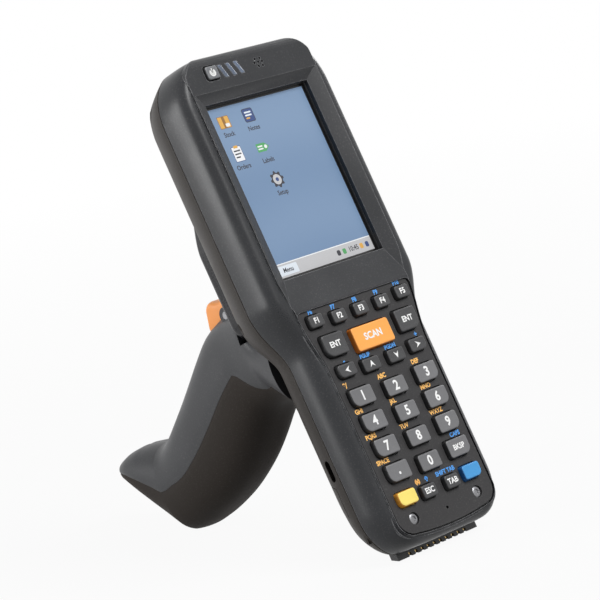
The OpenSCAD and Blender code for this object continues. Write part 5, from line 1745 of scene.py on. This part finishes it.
    def pictogram(self, label: str, x: float, y: float, z: float) -> list[Thing]:
        """One small picture of the display: flat shapes in layers.

        Args:
            label: What the picture stands for.
            x: Its middle across.
            y: Its middle along.
            z: Height of its lowest layer.

        Returns:
            The shapes, lowest first.
        """
        teeth = [(3.2 if k % 4 < 2 else 2.5, math.pi * k / 16) for k in range(32)]
        gear = [(r * math.cos(a), r * math.sin(a)) for r, a in teeth]
        tag = [(-2.9, -1.6), (1.1, -1.6), (3.0, 0), (1.1, 1.6), (-2.9, 1.6)]
        box = Lettering.box
        layers: dict[str, list[tuple[list[Flat], float, float, str]]] = {
            "Stock": [(box(5.4, 4.6, 0.3), 0, -0.3, "brown"), (box(5.0, 4.2, 0.3), 0, -0.3, "amber"),
                      (box(1.3, 4.2, 0.1), 0, -0.3, "brown"), (box(1.9, 1.2, 0.1), 1.2, -1.5, "white")],
            "Orders": [(box(4.6, 5.8, 0.3), 0, 0, "navy"), (box(4.2, 5.4, 0.3), 0, 0, "white"),
                       (box(3.0, 0.5, 0.1), 0, 1.2, "ink"), (box(3.0, 0.5, 0.1), 0, 0, "ink"),
                       (box(2.0, 0.5, 0.1), -0.5, -1.2, "ink"), (box(2.0, 1.0, 0.3), 0, 2.7, "amber")],
            "Labels": [(tag, 0, 0, "green"), (Lettering.arc(0.35, 0.7, 0, 360, 16), 1.4, 0, "white"),
                       (box(2.4, 0.5, 0.1), -1.2, 0.5, "white"), (box(2.4, 0.5, 0.1), -1.2, -0.5, "white")],
            "Setup": [(gear, 0, 0, "ink"), (Lettering.arc(1.0, 1.9, 0, 360, 24), 0, 0, "bar"),
                      (Lettering.arc(0.4, 0.7, 0, 360, 16), 0, 0, "navy")],
            "Notes": [(box(5.2, 5.2, 0.8), 0, 0, "ink"), (box(4.7, 4.7, 0.6), 0, 0, "navy"),
                      (box(3.2, 0.6, 0.2), 0, 1.1, "pale"), (box(3.2, 0.6, 0.2), 0, 0, "pale"),
                      (box(1.8, 0.6, 0.2), -0.7, -1.1, "amber")],
        }
        return [Lettering.shape(outline, x + dx, y + dy, z + 0.006 * k, self.looks["screen_" + tone], 0.006)
                for k, (outline, dx, dy, tone) in enumerate(layers[label])]

    def fixings(self) -> None:
        """Screws, contacts and the trigger's spring, grown by nodes."""
        steel, screws = self.looks["steel"], screw_tree()

        def mirrored(points: Sequence[Point]) -> list[Point]:
            """The points, each followed by its mirror image on the left."""
            return [(s * x, y, z) for x, y, z in points for s in (1, -1)]

        sets = [
            ("panel_screws", mirrored([(*PANEL_SCREW, PLATE_Z - 0.9)]), (2.0, 0.6, 1.0, 5.6, 1.05, 0.4),
             (0, 0, 0)),
            ("shell_screws", mirrored([(x, y, (-9 if y > -62 else -6.4) - 4) for x, y in SHELL_SCREWS]),
             (2.4, 2.0, 1.25, 11.0, 1.1, 1.0), (math.pi, 0, 0)),
            ("saddle_screws", mirrored([(x, y, SADDLE_SCREW_Z) for x, y in SADDLE_SCREWS]),
             (2.4, 1.6, 1.25, 9.7, 1.1, 0.8), (math.pi, 0, 0)),
            ("grip_screws", [(9, BODY.plate_top + v, SADDLE_Z - d) for d, v in Grip().screws],
             (2.4, 2.0, 1.25, 17.0, 1.1, 1.0), (0, math.pi / 2, 0)),
        ]
        for name, points, sizes, turn in sets:
            values = dict(zip(SCREW_SIZES, map(float, sizes)), Turn=tuple(map(float, turn)))
            metal = self.looks["dark_steel"] if name == "panel_screws" else steel
            made = screws.grow(name + "_set", points, metal, values)
            Mesher.finish(made, None, "terminal", "steel", [name], 25)
        row = [(3.2 * (k - 4.5), BODY.tail_end - 0.75, -8.15) for k in range(10)]
        contacts = contact_tree().grow("dock_contacts_row", row, self.looks["gold_plate"],
                                       {"Width": 1.2, "Length": 0.7, "Height": 0.4})
        Mesher.finish(contacts, None, "terminal", "gold", ["dock_contacts"], 25)
        spring = spring_tree().grow("trigger_spring_coil", [(-1.4, *TRIGGER_PIVOT)], steel,
                                    {"Radius": 1.92, "Length": 2.8, "Turns": 5.0, "Wire": 0.4, "Leg": 3.6})
        Mesher.finish(spring, None, "terminal", "steel", ["trigger_spring"], 40)

    def carried_over(self) -> None:
        """Dresses the CAD nodes that keep their shape."""
        for node, look in self.SLOTS.items():
            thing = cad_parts[node]
            thing.data.materials.clear()
            thing.data.materials.append(self.looks[look])
            LOG.info("%s: dressed in %s", node, look)

    def build(self) -> None:
        """Builds every piece."""
        self.shells()
        self.handle()
        self.key_caps()
        self.plate_prints()
        self.picture()
        self.fixings()
        self.carried_over()


# ---------------------------------------------------------------- studio


@dataclass
class Studio:
    """Camera, floor and soft light."""

    camera_at: Point = (-0.68510160931, -0.6739453563, 0.25609079619)
    right: Point = (0.69476833, -0.69951927, -0.16724161)
    down: Point = (-0.23607665, -0.00215083, -0.97173206)
    forward: Point = (0.67938559, 0.7146105, -0.1666345)
    lens: float = 168.72
    sky: float = 0.26
    whiteness: float = 0.94

    def camera(self) -> None:
        """Sets the camera at its angle, slightly rolled."""
        data = bpy.data.cameras.new("camera")
        data.lens, data.sensor_width, data.clip_start = self.lens, 36.0, 0.01
        holder = placed("camera", data)
        axes = Matrix((self.right, [-c for c in self.down], [-c for c in self.forward])).transposed()
        holder.matrix_world = Matrix.Translation(self.camera_at) @ axes.to_4x4()
        bpy.context.scene.camera = holder

    @staticmethod
    def lamp(name: str, at: Point, size: float, power: float, aim: Point = (0, 0.05, 0.08)) -> None:
        """Adds a soft area lamp that looks at a point."""
        data = bpy.data.lights.new(name, "AREA")
        data.shape, data.size, data.energy = "DISK", size, power
        holder = placed(name, data)
        holder.location = at
        holder.rotation_euler = (Vector(aim) - Vector(at)).to_track_quat("-Z", "Y").to_euler()

    @staticmethod
    def backdrop_mix(t: Tree, surface: Socket, white: Socket,
                     share: Socket | float) -> Socket:
        """Shows white to the camera and in gloss and glass, and the surface to all other light."""
        path = t.add("ShaderNodeLightPath")
        seen = t.math("MAXIMUM", path.outputs["Is Camera Ray"], path.outputs["Is Glossy Ray"])
        seen = t.math("MAXIMUM", seen, path.outputs["Is Transmission Ray"])
        mixer = t.add("ShaderNodeMixShader")
        t.wire(t.math("MULTIPLY", seen, share), mixer.inputs[0])
        t.wire(surface, mixer.inputs[1])
        t.wire(white, mixer.inputs[2])
        return mixer.outputs[0]

    def world(self) -> None:
        """White behind the object, and an even soft light from all round."""
        world = bpy.data.worlds.new("studio")
        t = Tree.emptied(world)
        lit, seen = t.add("ShaderNodeBackground"), t.add("ShaderNodeBackground")
        lit.inputs[0].default_value = (0.88, 0.89, 0.92, 1)
        lit.inputs[1].default_value = self.sky
        seen.inputs[0].default_value = (1, 1, 1, 1)
        shown = self.backdrop_mix(t, lit.outputs[0], seen.outputs[0], 1.0)
        t.wire(shown, t.add("ShaderNodeOutputWorld").inputs[0])
        bpy.context.scene.world = world

    def floor(self) -> None:
        """A plain pale floor, nearly white to the camera, that keeps the shadow of the terminal."""
        r = 30.0
        mesh = bpy.data.meshes.new("floor")
        mesh.from_pydata([(-r, -r, 0), (r, -r, 0), (r, r, 0), (-r, r, 0)], [], [(0, 1, 2, 3)])
        material = bpy.data.materials.new("pale_floor")
        t = Tree.emptied(material)
        surface = t.add("ShaderNodeBsdfDiffuse")
        surface.inputs["Color"].default_value = (0.38, 0.38, 0.38, 1)
        white = t.add("ShaderNodeEmission")
        away = t.add("ShaderNodeVectorMath", operation="LENGTH")
        t.wire(t.add("ShaderNodeTexCoord").outputs["Object"], away.inputs[0])
        share = t.span(away.outputs["Value"], 0.3, 1.2, self.whiteness, 1.0)
        shown = self.backdrop_mix(t, surface.outputs[0], white.outputs[0], share)
        t.wire(shown, t.add("ShaderNodeOutputMaterial").inputs[0])
        mesh.materials.append(material)
        floor = placed("floor", mesh)

    def build(self) -> None:
        """Builds the studio."""
        self.camera()
        self.world()
        self.floor()
        self.lamp("key", (0.25, -0.85, 1.25), 0.8, 22)
        self.lamp("side", (-1.25, 0.7, 0.3), 0.95, 19)
        self.lamp("rim", (1.1, 0.3, 0.6), 0.5, 4)
        bpy.context.scene.view_settings.view_transform = "Standard"


def main() -> None:
    """Builds the studio and the terminal."""
    logging.basicConfig(level=logging.INFO, format="%(name)s: %(message)s")
    Studio().build()
    Terminal(Palette()).build()
    LOG.info("sizes written")


if __name__ == "__main__":
    main()
